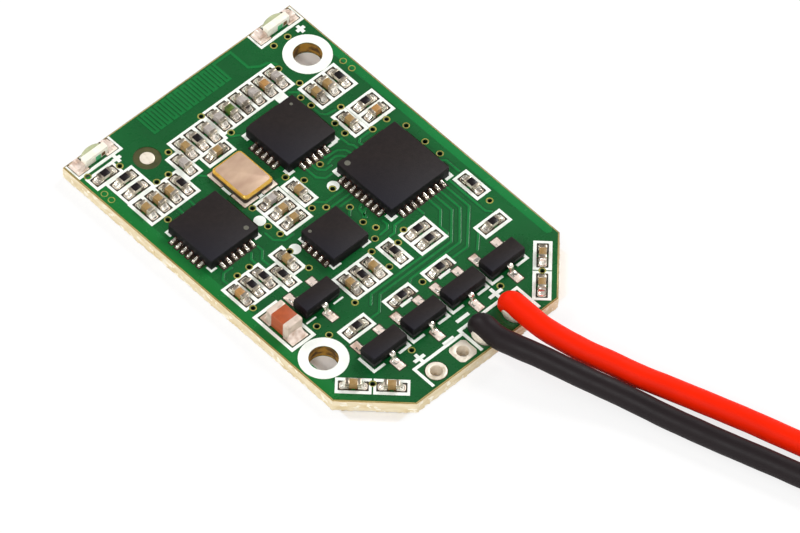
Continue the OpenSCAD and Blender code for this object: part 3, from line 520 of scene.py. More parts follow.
def add_floor():
    """Pale floor that is lifted to the white of the backdrop except under the board."""
    mesh = bpy.data.meshes.new("floor")
    corners = [(x * FLOOR_HALF, y * FLOOR_HALF, 0) for x, y in ((-1, -1), (1, -1), (1, 1), (-1, 1))]
    mesh.from_pydata(corners, [], [[0, 1, 2, 3]])
    new_object("floor", mesh)
    made = Finish("floor", "fcfbfb", 0.6, Specular_IOR_Level=0.2).mottle(8, 0.01)
    away = made.split(made.vector("ABSOLUTE", made.place))
    beside = made.math("GREATER_THAN", away["X"], (BOARD_HIGH.x - FLOOR_TUCK) * MM)
    beyond = made.math("GREATER_THAN", away["Y"], (BOARD_HIGH.y - FLOOR_TUCK) * MM)
    seen = made.math("MULTIPLY", backdrop_share(made), FLOOR_LIFT)
    lifted = made.math("MULTIPLY", seen, made.math("MAXIMUM", beside, beyond))
    mix = made.node("MixShader", Fac=lifted)
    made.put(mix.inputs[1], made.shader.outputs[0])
    made.put(mix.inputs[2], made.node("Emission", Color=WHITE).outputs[0])
    made.put(made.tree.nodes["Material Output"].inputs["Surface"], mix.outputs[0])
    mesh.materials.append(made.mat)


def add_world():
    """White for the camera; for light, a patchy tent that is dark where the board mirrors it."""
    world = bpy.data.worlds.new("studio")
    bpy.context.scene.world = world
    world.use_nodes = True
    net = Net(world.node_tree)
    place = net.node("TexCoord").outputs["Generated"]
    tent = net.ramp(net.vector("DOT_PRODUCT", place, MIRROR_WAY, "Value"), TENT)
    patches = net.node("TexNoise", Vector=place, Scale=2.6, Detail=1.0).outputs["Fac"]
    patchy = net.vector("SCALE", tent, net.span(patches, 0.42, 0.56, 0.2, 1.45))
    mix = net.node("Mix", data_type="RGBA", Factor=backdrop_share(net), A=patchy, B=WHITE)
    back = net.tree.nodes["Background"]
    net.put(back.inputs["Color"], mix.outputs["Result"])
    back.inputs["Strength"].default_value = 1.0


def add_lamp(name, at, size, power):
    """A soft lamp that faces the board."""
    data = bpy.data.lights.new(name, "AREA")
    data.shape = "RECTANGLE"
    data.size, data.size_y = size
    data.energy = power
    lamp = new_object(name, data)
    lamp.location = at
    lamp.rotation_euler = (-Vector(at)).to_track_quat("-Z", "Y").to_euler()


def add_lights():
    add_world()
    add_floor()
    add_lamp("key", (0.5, 0.02, 0.45), (0.3, 0.2), 2.7)
    add_lamp("side", (-0.15, 0.5, 0.4), (0.3, 0.2), 1.1)
    add_lamp("front", (-0.4, -0.12, 0.4), (0.2, 0.15), 1.1)


add_lights()


# Rounded forms

def rounded_ring(width, length, radius, z, at=(0, 0), steps=4):
    """A level rectangle with round corners."""
    radius = min(radius, width / 2 - 0.001, length / 2 - 0.001)
    ring = []
    for corner, (sx, sy) in enumerate(((1, 1), (-1, 1), (-1, -1), (1, -1))):
        for k in range(steps + 1):
            a = math.radians(90 * corner + 90 * k / steps)
            x = sx * (width / 2 - radius) + radius * math.cos(a)
            y = sy * (length / 2 - radius) + radius * math.sin(a)
            ring.append(Vector((at[0] + x, at[1] + y, z)))
    return ring


def stack(width, length, radius, levels, at=(0, 0), steps=4):
    """A block from level rectangles; each level is a height and an inset."""
    return loft([rounded_ring(width - 2 * inset, length - 2 * inset, max(radius - inset, 0.01), z, at, steps)
                 for z, inset in levels])


def mound(start, end, half, wall, climb, bead, seed, rounding=2.4, cells=(9, 8)):
    """Solder from x = start to x = end that climbs against a wall at x = wall."""
    wild = random.Random(seed)
    shift = Vector([wild.uniform(0, 90) for axis in "xyz"])
    nu, nv = cells
    rows = []
    for i in range(nu + 1):
        u = i / nu
        x = start + (end - start) * (1 - (1 - u) ** 1.15)
        t = (x - start) / (end - start)
        taper = (1 - max(0.0, (t - 0.5) / 0.5) ** rounding) ** (1 / rounding)
        beyond = max(0.0, x - wall) / max(end - wall, 0.01)
        high = bead + (climb - bead) * max(0.0, 1 - beyond) ** 2.3
        toe = min(1.0, (1 - t) / 0.14) ** 0.5
        row = []
        for k in range(nv + 1):
            v = -1 + 2 * k / nv
            v = math.copysign(abs(v) ** 0.8, v)
            y = half * v * max(taper, 0.12)
            edge = (1 - abs(v) ** 4) ** 0.5
            bump = 1 + 0.12 * noise.noise(Vector((x * 2.5, y * 2.5, 0)) + shift)
            row.append(Vector((x, y, max(0.0, high * toe * edge * bump))))
        rows.append(row)
    return loft(rows, closed=False, cap_start=False, cap_end=False)


def place_at(at, angle=0.0, z=0.0):
    return Matrix.Translation(Vector((at[0], at[1], z))) @ Matrix.Rotation(angle, 4, "Z")


SEAT = mm_box("resistors")[0].z
MASK_TOP = mm_box("printed_lines")[0].z
PRINT_TOP = mm_box("printed_lines")[1].z


# Board: laminate, masks, print and copper

MOUNT_HOLES = [Vector((BOARD_HIGH.x - 1.9, BOARD_HIGH.y - 3.7)),
               Vector((BOARD_LOW.x + 1.8, BOARD_LOW.y + 6.4))]

for node, finish in (
        ("laminate", laminate_finish()), ("solder_mask_top", mask_green), ("solder_mask_bottom", mask_back),
        ("printed_lines", print_ink), ("antenna", mask_track), ("open_lead_holes", pad_tin)):
    dress(node, finish)


def board_corners():
    """The six corners of the board, in turning order."""
    found = []
    for v in CAD["laminate"].data.vertices:
        p = (v.co / MM).xy
        side = abs(abs(p.x) - BOARD_HIGH.x) < 0.001
        end = abs(abs(p.y) - BOARD_HIGH.y) < 0.001
        if (side or end) and all((p - q).length > 0.01 for q in found):
            found.append(p)
    return sorted(found, key=lambda q: math.atan2(q.y, q.x))


EDGE_STEP = 0.12
TUFTS = 150


def add_sawn_edge():
    """Rough cut edge of the glass-epoxy, with its amber rim and torn fibres."""
    corners = board_corners()
    path = []
    for i, a in enumerate(corners):
        b = corners[(i + 1) % len(corners)]
        along = (b - a).normalized()
        out = Vector((along.y, -along.x))
        count = max(2, round((b - a).length / EDGE_STEP))
        path += [(a + (b - a) * k / count, out) for k in range(count)]
    low, high = BOARD_LOW.z, BOARD_HIGH.z
    levels = [(high + 0.005, -0.11, 0.0), (high + 0.01, -0.03, 0.3), (high - 0.03, 0.0, 0.5),
              (high - 0.15, 0.01, 1.0), (high - 0.3, 0.01, 1.0), (high - 0.45, 0.01, 1.0),
              (high - 0.6, 0.01, 1.2), (low + 0.2, 0.02, 1.6), (low + 0.08, 0.02, 2.4),
              (low + 0.01, 0.0, 2.4), (low - 0.004, -0.12, 0.0)]
    rings = []
    for z, off, rough in levels:
        ring = []
        for p, out in path:
            torn = noise.fractal(Vector((p.x * 2.2, p.y * 2.2, z * 3)), 0.7, 2.0, 4)
            wavy = noise.noise(Vector((p.x * 3, p.y * 3, z)))
            q = p + out * (off + 0.03 * rough * torn)
            ring.append(Vector((q.x, q.y, z + 0.012 * min(rough, 1) * wavy)))
        rings.append(ring)
    band = loft(rings, cap_start=False, cap_end=False)
    n = len(path)
    band.marks = [0 if i < 2 * n else 1 for i in range(len(band.faces))]
    piece("sawn_edge", band, [amber, fibre], angle=60)
    wild = random.Random(4)
    tufts = Shape()
    for k in range(TUFTS):
        p, out = path[wild.randrange(n)]
        size = wild.uniform(0.02, 0.07)
        along = Vector((-out.y, out.x))
        tilt = wild.uniform(-0.5, 0.5)
        z = low + wild.choice((0.02, 0.05, 0.1, 0.3)) * wild.uniform(0.5, 1.5)
        heart = p + out * 0.03
        rings = []
        for t, r in ((-1, 0.1), (-0.5, 0.8), (0.1, 1.0), (0.6, 0.6), (1, 0.1)):
            mid = heart + along * t * size * 1.8
            ring = []
            for a in (0, 1.26, 2.5, 3.8, 5.0):
                flat = r * size * 0.6 * math.cos(a)
                high = z + tilt * t * size + r * size * 0.5 * math.sin(a)
                ring.append(Vector((mid.x + out.x * flat, mid.y + out.y * flat, max(0.0, high))))
            rings.append(ring)
        tufts.join(loft(rings))
    piece("torn_fibres", tufts, fibre)


# Copper tracks that show through the mask, by board region

TRACK_W = 0.2
TRACK_GAP = 0.07
TRACKS = [
    [(5.45, -3.2), (5.45, -4.2), (4.5, -5.15), (4.5, -5.8), (4.2, -6.1), (-2.3, -6.1), (-2.9, -6.7)],
    [(5.95, -3.2), (5.95, -4.7), (4.2, -6.47), (-1.9, -6.47), (-2.9, -7.45), (-3.6, -7.45)],
    [(6.45, -3.2), (6.45, -4.9), (4.55, -6.88), (0.3, -6.88), (0.0, -7.1)],
    [(6.95, -3.2), (6.95, -5.2), (4.65, -7.45), (3.4, -7.45)], [(4.45, -3.2), (4.45, -3.7)],
    [(7.45, -2.85), (7.45, -6.15), (7.7, -6.45)], [(6.15, -6.9), (4.95, -8.05)],
    [(3.2, -3.15), (2.5, -3.15), (2.05, -3.6), (1.65, -3.6)],
    [(2.2, -2.4), (2.2, -2.8), (1.95, -3.05), (1.3, -3.1)], [(7.9, -1.1), (8.4, -1.6), (8.4, -2.75)],
    [(1.45, 3.75), (1.45, 2.9), (1.85, 2.45), (2.4, 2.45)],
    [(1.95, 3.75), (1.95, 3.3), (2.25, 2.95), (2.8, 2.95)],
    [(2.75, 3.2), (3.1, 3.3), (3.5, 3.3), (3.8, 3.1), (3.95, 2.85)],
    [(2.95, 3.8), (2.95, 3.65), (3.9, 3.6), (4.3, 3.25), (4.4, 2.85)],
    [(4.2, 4.1), (4.75, 4.1), (4.75, 3.45), (4.95, 3.2), (4.95, 2.85)],
    [(6.4, 3.3), (5.6, 3.3), (5.35, 3.1), (5.35, 2.85)], [(0.1, 1.5), (0.55, 1.05), (2.05, 1.05)],
    [(0.6, 0.55), (2.05, 0.55)], [(1.0, 0.2), (2.05, 0.2)], [(0.95, -0.7), (1.25, -0.4)],
    [(1.6, -1.5), (1.75, -0.75), (2.05, -0.55)], [(1.5, -1.4), (1.95, -1.0), (2.1, -1.0)],
    [(-3.9, 1.8), (-3.9, 1.1), (-3.4, 0.6), (-2.7, 0.6)], [(-1.9, 0.75), (-0.9, 0.75)],
    [(-8.35, 0.5), (-8.35, 0.9), (-7.95, 1.25), (-7.3, 1.25)], [(-5.95, 0.5), (-5.95, 0.9), (-5.6, 1.25)],
    [(-5.45, -0.1), (-5.45, 0.45), (-4.95, 0.95), (-4.95, 1.4)], [(-3.9, 8.0), (-3.45, 7.5)],
    [(-6.6, 6.95), (-6.6, 6.5)], [(-5.65, 6.95), (-5.65, 6.5)], [(0.2, 8.6), (-0.3, 8.9), (-0.3, 9.1)],
    [(5.1, 6.9), (5.1, 6.4), (5.4, 6.1), (6.0, 6.0)], [(4.85, 9.0), (5.3, 8.6), (5.1, 8.45)]]


def outline_of(points, half):
    """Outline of a strip along a line of corners, with mitred bends and round ends."""
    pts = [Vector(q) for q in points]
    ways = [(b - a).normalized() for a, b in zip(pts, pts[1:])]
    right, left = [], []
    for i in range(1, len(pts) - 1):
        a, b = ways[i - 1], ways[i]
        side = (Vector((a.y, -a.x)) + Vector((b.y, -b.x))).normalized()
        reach = half / max(0.4, side.dot(Vector((a.y, -a.x))))
        right.append(pts[i] + side * reach)
        left.append(pts[i] - side * reach)

    def end_arc(at, way):
        start = math.atan2(way.y, way.x) - math.pi / 2
        return [at + half * Vector((math.cos(start + math.pi * k / 6), math.sin(start + math.pi * k / 6)))
                for k in range(7)]

    return right + end_arc(pts[-1], ways[-1]) + left[::-1] + end_arc(pts[0], -ways[0])


def ribbon(points, half, low, high):
    """A flat raised strip along a line of corners."""
    foot = outline_of(points, half)
    crown = outline_of(points, half * 0.6 if half < 0.25 else half - 0.06)
    return loft([[Vector((*q, low)) for q in foot], [Vector((*q, high)) for q in crown]], cap_start=False)


def add_tracks():
    raised, gaps = Shape(), Shape()
    for route in TRACKS:
        raised.join(ribbon(route, TRACK_W / 2, MASK_TOP, MASK_TOP + 0.008))
        gaps.join(ribbon(route, TRACK_W / 2 + TRACK_GAP, MASK_TOP, MASK_TOP + 0.003))
    bands = ((BOARD_LOW.x + 0.53, 0.84, BOARD_HIGH.y - 2.0, BOARD_LOW.y + 4.1),
             (BOARD_HIGH.x - 0.4, 0.56, BOARD_HIGH.y - 4.15, BOARD_LOW.y + 4.3))
    for x, wide, high, low in bands:
        raised.join(ribbon([(x, high), (x, low)], wide / 2, MASK_TOP, MASK_TOP + 0.005))
    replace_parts(piece("covered_tracks", raised, mask_track, angle=5), "tracks")
    piece("track_gaps", gaps, mask_gap)


VIA_BORE = 0.13
PAD_BORE = 0.42


def ring_at(at, radii, z):
    """A level ring of points, each at its own distance from the middle."""
    turns = [2 * math.pi * k / len(radii) for k in range(len(radii))]
    return [Vector((at[0] + r * math.cos(a), at[1] + r * math.sin(a), z)) for r, a in zip(radii, turns)]


def turned_rings(at, profile, sides=20, cap_end=True):
    """A round form from radii and heights."""
    return loft([ring_at(at, [r] * sides, z) for r, z in profile], cap_start=False, cap_end=cap_end)


def add_vias():
    """Plated vias: gold ring, mask that has run in, bore painted near black as shade; in the side bands the
    mask closes them over a small dot of the same painted shade.
    """
    rings, collars, bores = Shape(), Shape(), Shape()
    wild = random.Random(12)

    def turn(target, at, *profile, cap_end=False):
        target.join(turned_rings(at, profile, cap_end=cap_end))

    for group in islands("vias"):
        low, high = box_of(group)
        at = ((low + high) / 2).xy
        reach = (high.x - low.x) / 2
        top = high.z
        inner = reach - wild.uniform(0.06, 0.085)
        slip = at + Vector((wild.uniform(-0.01, 0.01), wild.uniform(-0.01, 0.01)))
        turn(rings, at, (reach, low.z), (reach, top), (reach - 0.02, top + 0.02), (inner + 0.01, top + 0.02),
             (inner - 0.01, top))
        turn(collars, slip, (inner, top + 0.004), (inner - 0.03, top - 0.002),
             (VIA_BORE + 0.005, top - 0.03), (VIA_BORE, top - 0.09))
        turn(bores, slip, (VIA_BORE + 0.002, top - 0.05), (VIA_BORE, top - 0.3), (VIA_BORE, low.z + 0.02))
        if at.x < BOARD_LOW.x + 0.95 or at.x > BOARD_HIGH.x - 0.68:
            turn(collars, slip, (inner + 0.01, top + 0.01), (0.12, top + 0.008))
            # painted shade: a small dark dot over the closed via
            turn(bores, slip, (0.12, top + 0.008), (0.1, top + 0.007), cap_end=True)
        turn(rings, at, (VIA_BORE, low.z + 0.012), (reach, low.z + 0.012))
    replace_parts(piece("via_rings", rings, ring_gold), "vias")
    piece("via_collars", collars, via_green)
    piece("via_bores", bores, via_bore_shade)


def add_open_pads():
    """Cream rings round the two open lead holes; the right one is square with cut corners."""
    pads = Shape()
    sides = 32
    for i, group in enumerate(islands("open_lead_holes")):
        low, high = box_of(group)
        at = ((low + high) / 2).xy
        outer = [(high.x - low.x) / 2] * sides
        if i == 1:
            turns = [2 * math.pi * k / sides for k in range(sides)]
            outer = [min(0.71 / max(abs(math.cos(a)), abs(math.sin(a))), 0.86) for a in turns]
        rings = []
        for inset, z in ((0, high.z - 0.05), (0, high.z), (0.03, high.z + 0.02)):
            rings.append(ring_at(at, [r - inset for r in outer], z))
        for grow, z in ((0.05, high.z + 0.02), (0.01, high.z), (-0.01, high.z - 0.06),
                        (-0.01, low.z + 0.02)):
            rings.append(ring_at(at, [PAD_BORE + grow] * sides, z))
        pads.join(loft(rings, cap_start=False, cap_end=False))
    piece("open_pads", pads, pad_tin, angle=40)


def add_fiducial():
    """Round metal mark in its well of bare laminate, which is painted dark as shade."""
    low, high = mm_box("fiducial")
    at = ((low + high) / 2).xy
    profile = [(0.48, low.z), (0.48, high.z), (0.45, high.z + 0.012), (0.3, high.z + 0.016)]
    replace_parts(piece("fiducial_dot", turned_rings(at, profile, 32), pad_tin), "fiducial")
    # painted shade: dark olive well of bare laminate
    well = turned_rings(at, [(0.91, low.z + 0.004), (0.45, low.z + 0.004)], 32, cap_end=False)
    piece("fiducial_well", well, bare_ring_shade)


add_sawn_edge()
add_tracks()
add_vias()
add_open_pads()
add_fiducial()


def plan_box(points):
    """Middle, length, width and turn of an upright four-sided solid."""
    corners = []
    for p in points:
        if all((p.xy - q).length > 0.02 for q in corners):
            corners.append(p.xy)
    mid = sum(corners, Vector((0, 0))) / len(corners)
    corners.sort(key=lambda q: math.atan2(q.y - mid.y, q.x - mid.x))
    a, b = corners[1] - corners[0], corners[2] - corners[1]
    if a.length < b.length:
        a, b = b, a
    return mid, a.length, b.length, math.atan2(a.y, a.x)


CHIP_NAMES = ("controller", "radio", "gyro", "accelerometer")
CHIPS = [mm_box(name + "_chip") for name in CHIP_NAMES]
TERMINAL_LAND = 0.4
SMALL_LAND_L = 0.66
HIDDEN_CUT = 0.16


def behind_chip(at):
    """Way out of the chip for a land at its back or right wall, else None."""
    for low, high in CHIPS:
        if low.y < at.y < high.y and 0 < at.x - high.x + 0.5 < 1.0:
            return Vector((1, 0))
        if low.x < at.x < high.x and 0 < at.y - high.y + 0.5 < 1.0:
            return Vector((0, 1))
    return None


def add_lands():
    """Round-cornered lands, each in an opening of bare laminate painted dark as shade."""
    lands, pockets, slots = Shape(), Shape(), Shape()
    for group in islands("lands"):
        mid, length, width, turn = plan_box(group)
        top = box_of(group)[1].z
        narrow = width < TERMINAL_LAND
        if narrow and behind_chip(mid):
            length -= HIDDEN_CUT
            mid -= behind_chip(mid) * HIDDEN_CUT / 2
        place = place_at(mid, turn)
        small = abs(length - SMALL_LAND_L) < 0.02
        radius, inset = (0.16, 0.03) if small else (0.05, 0.0)
        if narrow:
            width = 0.21
        levels = [(MASK_TOP - 0.03, 0), (top - 0.012, 0), (top, 0.02)]
        lands.join(stack(length - 2 * inset, width - 2 * inset, radius, levels, steps=3), place)
        grow = 0.13 if small else 0.1 if narrow else 0.06
        radius = 0.22 if small else 0.05
        levels = [(MASK_TOP - 0.005, 0), (MASK_TOP + 0.006, 0)]
        target = slots if narrow else pockets
        target.join(stack(length + 2 * grow, width + 2 * grow, radius, levels, steps=3), place)
    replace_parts(piece("round_lands", lands, land_tin), "lands")
    # painted shade: dark sheets of bare laminate round the lands and under the chip slots
    piece("pad_pockets", pockets, pocket_shade)
    piece("slot_floors", slots, slot_floor_shade)


add_lands()


# Small parts

def small_places(bodies, ends):
    """Middle and turn of each small part, from its body and the nearest metal end."""
    tips = [middle_of(g) for g in islands(ends)]
    out = []
    for group in islands(bodies):
        mid = middle_of(group)
        tip = min(tips, key=lambda t: (t.xy - mid.xy).length)
        out.append((mid.xy, math.atan2(tip.y - mid.y, tip.x - mid.x)))
    return out


SMALL_L, SMALL_W, SMALL_END = 1.0, 0.5, 0.25
SMALL_MIDDLE = SMALL_L - 2 * SMALL_END
RESISTOR_H = mm_box("resistors")[1].z - SEAT
CAPACITOR_H = mm_box("tan_capacitors")[1].z - SEAT
fillets, caps_r, caps_c = Shape(), Shape(), Shape()


def add_small_ends(target, high, place, seed):
    wild = random.Random(seed)
    for side in (0, math.pi):
        turned = place @ Matrix.Rotation(side, 4, "Z")
        cap = (SMALL_END + 0.02, SMALL_W + 0.02, high)
        target.join(block(cap, (SMALL_L / 2 - SMALL_END / 2, 0, 0), 0.045, 3), turned)
        end = 0.84 + wild.uniform(-0.02, 0.02)
        climb = high * wild.uniform(0.6, 0.85)
        bead = wild.uniform(0.08, 0.13)
        fillets.join(mound(0.3, end, 0.29, SMALL_L / 2, climb, bead, seed * 7 + side), turned)


def add_resistors():
    cores, films = Shape(), Shape()
    for i, (at, turn) in enumerate(small_places("resistors", "resistor_ends")):
        place = place_at(at, turn, SEAT)
        cores.join(block((SMALL_MIDDLE + 0.1, SMALL_W - 0.02, RESISTOR_H - 0.03), bevel=0.02), place)
        size = (SMALL_MIDDLE + 0.06, SMALL_W - 0.01, 0.05)
        films.join(block(size, (0, 0, RESISTOR_H - 0.045), 0.015, 2), place)
        add_small_ends(caps_r, RESISTOR_H, place, i + 11)
    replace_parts(piece("resistor_films", films, film), "resistors")
    piece("resistor_cores", cores, alumina)


def add_capacitors(node, finish, first_seed):
    name = node[:-1] + "_bodies" if node.endswith("s") else node + "_body"
    slot = node.split("_")[0] + "_ceramic"
    bodies = Shape()
    size = (SMALL_MIDDLE + 0.1, SMALL_W - 0.02, CAPACITOR_H - 0.015)
    for i, (at, turn) in enumerate(small_places(node, "capacitor_ends")):
        place = place_at(at, turn, SEAT)
        bodies.join(block(size, bevel=0.04, steps=2), place)
        add_small_ends(caps_c, CAPACITOR_H, place, first_seed + i)
    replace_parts(piece(name, bodies, finish), node)


def add_bulk_capacitor():
    low, high = mm_box("bulk_capacitor")
    mid = (low + high) / 2
    size = (high.x - low.x - 0.03, high.y - low.y + 0.2, high.z - low.z - 0.015)
    body = block(size, (mid.x, mid.y, SEAT), 0.06, 3)
    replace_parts(piece("bulk_body", body, rust), "bulk_capacitor")
    wraps, mounds = Shape(), Shape()
    for group in islands("bulk_capacitor_ends"):
        a, b = box_of(group)
        at = (a + b) / 2
        reach = b.y - a.y
        wraps.join(block((b.x - a.x + 0.02, reach, b.z - a.z), (at.x, at.y, SEAT), 0.09, 4))
        side = 1 if a.y > mid.y else -1
        half = reach / 2
        joint = mound(0.1 - half, half + 0.46, 0.66, half, 0.55, 0.12, 5 + side, 3.5, (12, 12))
        mounds.join(joint, place_at(at, side * math.pi / 2, SEAT))
    piece("bulk_mounds", mounds, lamp_tin, angle=70)
    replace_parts(piece("bulk_wraps", wraps, end_metal), "bulk_capacitor_ends")


add_resistors()
add_capacitors("tan_capacitors", tan, 40)
add_capacitors("grey_capacitors", grey, 140)
add_capacitors("orange_capacitors", orange, 240)
add_capacitors("green_capacitor", green, 340)
add_bulk_capacitor()
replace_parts(piece("resistor_caps", caps_r, tin), "resistor_ends")
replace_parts(piece("capacitor_caps", caps_c, tin), "capacitor_ends")
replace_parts(piece("solder_mounds", fillets, solder, angle=70), "solder_fillets")


# Leadless chips

def add_chip(node, terminals, climb, bead):
    """Moulded body, the bare copper faces of its terminals and the solder beads in front of them."""
    low, high = mm_box(node)
    width = high.x - low.x
    mid = ((low + high) / 2).xy
    top = high.z
    levels = [(low.z, 0.02), (low.z + 0.02, 0), (top - 0.03, 0.01), (top - 0.01, 0.02), (top, 0.045)]
    body = stack(width, width, 0.07, levels, mid, 3)
    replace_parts(piece(node + "_body", body, mould, angle=40), node)
    joints, faces = Shape(), Shape()
    for i, group in enumerate(islands(terminals)):
        a, b = box_of(group)
        at = ((a + b) / 2).xy
        off = at - mid
        if abs(off.x) > abs(off.y):
            turn, near = (0, a) if off.x > 0 else (math.pi, b)
            base, reach = (near.x, at.y), b.x - a.x
        else:
            turn, near = (math.pi / 2, a) if off.y > 0 else (-math.pi / 2, b)
            base, reach = (at.x, near.y), b.y - a.y
        hidden = turn in (0, math.pi / 2)
        reach += -HIDDEN_CUT if hidden else 0.02
        low_bead = bead * (0.5 if hidden else 1)
        joint = mound(0.04, reach, 0.108, 0.04, climb, low_bead, i + 3, 2.0, (9, 6))
        joints.join(joint, place_at(base, turn, SEAT - 0.005))
        faces.join(block((0.05, 0.2, 0.26), (-0.012, 0, 0)), place_at(base, turn, SEAT))
        faces.join(block((0.14, 0.2, 0.05), (0.03, 0, 0)), place_at(base, turn, SEAT))
    piece(node + "_faces", faces, bare_copper)
    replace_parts(piece(node + "_joints", joints, solder, angle=70), terminals)
    return mid, top


def add_dot(name, at, z, radius):
    """Shallow round first-pin mark."""
    profile = [(radius * k, z + lift) for k, lift in ((1, 0), (0.93, 0.004), (0.8, 0.003), (0.3, 0.0025))]
    piece(name, turned_rings(at, profile), chip_dot)


CHIP_LOOKS = ((0.2, 0.15, (-2.0, 2.05), 0.2), (0.2, 0.15, (1.4, 1.45), 0.11),
              (0.2, 0.15, (1.4, -1.5), 0.17), (0.17, 0.12, (-1.1, 1.1), 0.12))

for name, (climb, bead, dot_at, dot_radius) in zip(CHIP_NAMES, CHIP_LOOKS):
    centre, top = add_chip(name + "_chip", name + "_terminals", climb, bead)
    add_dot(name + "_dot", centre + Vector(dot_at), top, dot_radius)


# Crystal

def add_crystal():
    low, high = mm_box("crystal_base")
    mid = ((low + high) / 2).xy
    width, length = high.x - low.x, high.y - low.y
    levels = [(low.z, 0.06), (low.z + 0.03, 0.03), (high.z - 0.2, 0.03), (high.z, 0.06)]
    body = stack(width, length, 0.2, levels, mid)
    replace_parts(piece("crystal_tray", body, tray), "crystal_base")
    seal = mm_box("crystal_seal_ring")[0].z
    lid_low, lid_high = mm_box("crystal_lid")
    seat, top = lid_low.z, lid_high.z
    levels = [(seal - 0.05, 0.02), (seal - 0.03, 0.0), (top - 0.13, 0.0), (top - 0.1, 0.02),
              (top - 0.05, 0.05), (top - 0.02, 0.09), (top - 0.015, 0.13)]
    rim = stack(width, length, 0.3, levels, mid, 6)
    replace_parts(piece("crystal_rim", rim, gold, angle=20), "crystal_seal_ring")
    levels = [(seat - 0.01, 0.0), (top - 0.012, 0.0), (top, 0.02)]
    lid = stack(width - 0.3, length - 0.3, 0.24, levels, mid, 6)
    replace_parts(piece("crystal_cover", lid, lid_metal), "crystal_lid")


add_crystal()


# Transistors and regulator

FOOT_SECTION = ((1, 0.5), (0.8, 1), (-0.8, 1), (-1, 0.5), (-1, -0.5), (-0.8, -1), (0.8, -1), (1, -0.5))


def add_foot(target, pool, body_box, foot_box, side, seed):
    """A gull-wing foot and the solder that holds it on its land."""
    a, b = foot_box
    x = (a.x + b.x) / 2
    mid_y = (body_box[0].y + body_box[1].y) / 2
    inner = (body_box[1].y - body_box[0].y) / 2 - 0.04
    reach = max(abs(a.y - mid_y), abs(b.y - mid_y))
    top = b.z
    thick = 0.12
    line = [(inner, top - thick / 2), (inner + 0.12, top - thick / 2), (inner + 0.2, top - thick * 0.8),
            (inner + 0.25, top - 0.24), (inner + 0.29, SEAT + 0.2), (inner + 0.36, SEAT + 0.09),
            (inner + 0.46, SEAT + thick / 2), (reach + 0.02, SEAT + thick / 2)]
    half = [0.19, 0.2, 0.2, 0.18, 0.19, 0.22, 0.24, 0.24]
    rings = []
    for i, (y, z) in enumerate(line):
        before, after = line[max(i - 1, 0)], line[min(i + 1, len(line) - 1)]
        along = Vector((0, after[0] - before[0], after[1] - before[1])).normalized()
        normal = Vector((0, -along.z, along.y))
        ring = []
        for sx, sz in FOOT_SECTION:
            p = Vector((0, y, z)) + Vector((sx * half[i], 0, 0)) + normal * sz * thick / 2
            ring.append(Vector((x + side * p.x, mid_y + side * p.y, p.z)))
        rings.append(ring)
    target.join(loft(rings))
    land = place_at((x, mid_y), side * math.pi / 2, SEAT - 0.004)
    pool.join(mound(inner + 0.2, 1.73, 0.285, reach, 0.13, 0.09, seed, rounding=5.0, cells=(10, 8)), land)


def add_transistor(body_node, feet_node, seed):
    low, high = mm_box(body_node)
    mid = ((low + high) / 2).xy
    length, width = high.x - low.x, high.y - low.y
    half = (low.z + high.z) / 2
    levels = [(low.z, 0.1), (low.z + 0.03, 0.08), (half - 0.02, 0.005), (half, 0), (half + 0.02, 0.005),
              (high.z - 0.025, 0.05), (high.z - 0.008, 0.058), (high.z, 0.08)]
    body = stack(length, width, 0.1, levels, mid, 3)
    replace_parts(piece(body_node + "_body", body, mould, angle=30), body_node)
    feet, pool = Shape(), Shape()
    for i, group in enumerate(islands(feet_node)):
        a, b = box_of(group)
        side = 1 if (a.y + b.y) / 2 > mid.y else -1
        add_foot(feet, pool, (low, high), (a, b), side, seed + i)
    feet.join(pool, mark=1)
    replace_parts(piece(feet_node + "_bent", feet, [solder, lamp_tin], angle=60), feet_node)


for k in range(1, 5):
    add_transistor("motor_transistor_%d" % k, "transistor_feet_%d" % k, 20 * k)
add_transistor("regulator_body", "regulator_feet", 7)


# Lamps

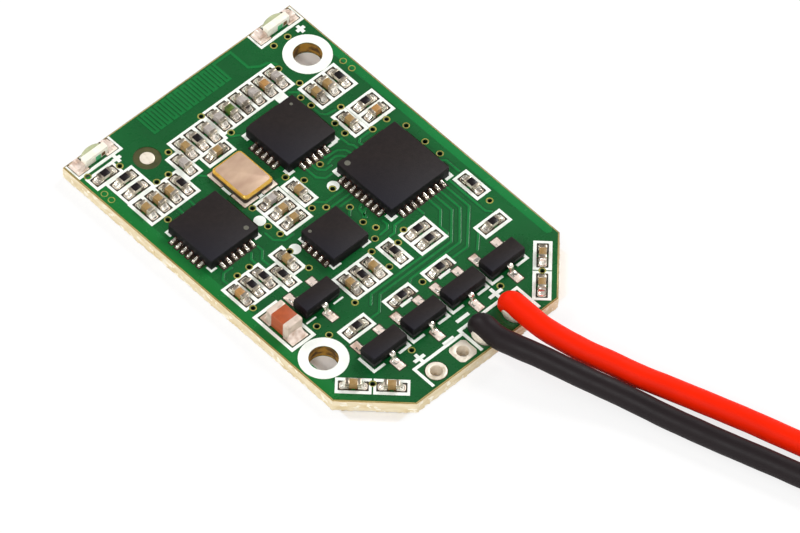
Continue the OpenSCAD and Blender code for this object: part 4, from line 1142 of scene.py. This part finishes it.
def add_lamp_part(side):
    low, high = mm_box("lamp_carrier_" + side)
    mid_x = (low.x + high.x) / 2
    width, deep = high.x - low.x, high.y - low.y
    mid = (mid_x, (low.y + high.y) / 2)
    top = high.z
    levels = [(low.z, 0.02), (low.z + 0.03, 0), (top - 0.06, 0.0), (top - 0.015, 0.02), (top, 0.055)]
    body = stack(width, deep, 0.07, levels, mid, 4)
    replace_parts(piece("lamp_block_" + side, body, white_resin), "lamp_carrier_" + side)
    a, b = mm_box("lamp_lens_" + side)
    half, reach = (b.x - a.x) / 2, b.y - a.y
    rings = []
    turns = [math.pi * i / 16 for i in range(17)]
    for z, k in ((a.z, 0.93), (a.z + 0.05, 1.0), (b.z - 0.16, 1.0), (b.z - 0.07, 0.92), (b.z - 0.02, 0.75),
                 (b.z, 0.5)):
        x, y = half * k, (reach + 0.03) * k
        rings.append([Vector((mid_x + x * math.cos(t), a.y - 0.03 + y * math.sin(t), z)) for t in turns])
    dome = loft(rings)
    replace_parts(piece("lamp_dome_" + side, dome, clear_resin, angle=60), "lamp_lens_" + side)
    ends = Shape()
    for group in islands("lamp_ends_" + side):
        c, d = box_of(group)
        out = 1 if (c.x + d.x) / 2 > mid_x else -1
        inner = c.x if out > 0 else d.x
        tall = d.z - c.z
        ends.join(block((d.x - c.x, deep - 0.1, tall), ((c.x + d.x) / 2, mid[1], SEAT), 0.05, 3))
        ends.join(mound(0.02, 0.68, 0.5, 0.3, tall * 0.95, 0.07, 31 + out, rounding=4.0, cells=(10, 10)),
                  place_at((inner, mid[1] + 0.2), 0 if out > 0 else math.pi, SEAT - 0.004))
    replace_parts(piece("lamp_terminals_" + side, ends, lamp_tin, angle=60), "lamp_ends_" + side)
    mark = block((0.42, 0.03, 0.42), (mid_x + 0.12, low.y - 0.004, SEAT + 0.02))
    piece("lamp_mark_" + side, mark, mark_green)
    hollow = block((0.3, 0.03, 0.3), (mid_x + 0.55, low.y - 0.004, SEAT + 0.12))
    piece("lamp_hollow_" + side, hollow, mark_brown)


add_lamp_part("left")
add_lamp_part("right")


# Lead joints

CONE = [(0.02, 0.9), (0.05, 0.9), (0.98, 0.9), (1.03, 0.9), (1.12, 0.88), (1.25, 0.84), (1.42, 0.8),
        (1.6, 0.76), (1.7, 0.6)]
CONE_SIDES = 24


def add_joints():
    """Solder cones round the two leads, uneven and pushed to the left above the board."""
    cones = Shape()
    for i, group in enumerate(islands("lead_joints")):
        low, high = box_of(group)
        mid = (low + high) / 2
        wild = random.Random(i + 60)
        rings = []
        for z, r in CONE:
            push = -0.16 * min(1, (z - 1.03) / 0.2) if z > 1.04 else 0
            radii = [r] * CONE_SIDES
            if z > 1.1:
                radii = [r * (1 + 0.03 * math.sin(6 * math.pi * k / CONE_SIDES + wild.random()))
                         for k in range(CONE_SIDES)]
            rings.append(ring_at((mid.x + push, mid.y), radii, z))
        cones.join(loft(rings))
    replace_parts(piece("lead_cones", cones, pad_tin, angle=60), "lead_joints")


add_joints()


# Signs of the printed legend

SIGN_LINE = 0.25
SIGNS = [(-3.55, -11.75, 0.88, 0.8), (3.4, -11.3, 1.1, 1.0), (-6.75, 12.4, 0.66, 0.66),
         (8.87, 12.25, 0.66, 0.66), (-1.28, -11.97, 0.9, 0), (0.6, -11.27, 1.06, 0)]


def add_signs():
    """Plus signs, and minus signs, whose upright bar has no length."""
    signs = Shape()
    thick = PRINT_TOP - MASK_TOP
    for x, y, across, along in SIGNS:
        signs.join(block((across, SIGN_LINE, thick), (x, y, MASK_TOP)))
        if along:
            signs.join(block((SIGN_LINE, along, thick + 0.002), (x, y, MASK_TOP)))
    piece("legend_signs", signs, print_ink)


add_signs()


bpy.context.scene.view_settings.view_transform = "Standard"
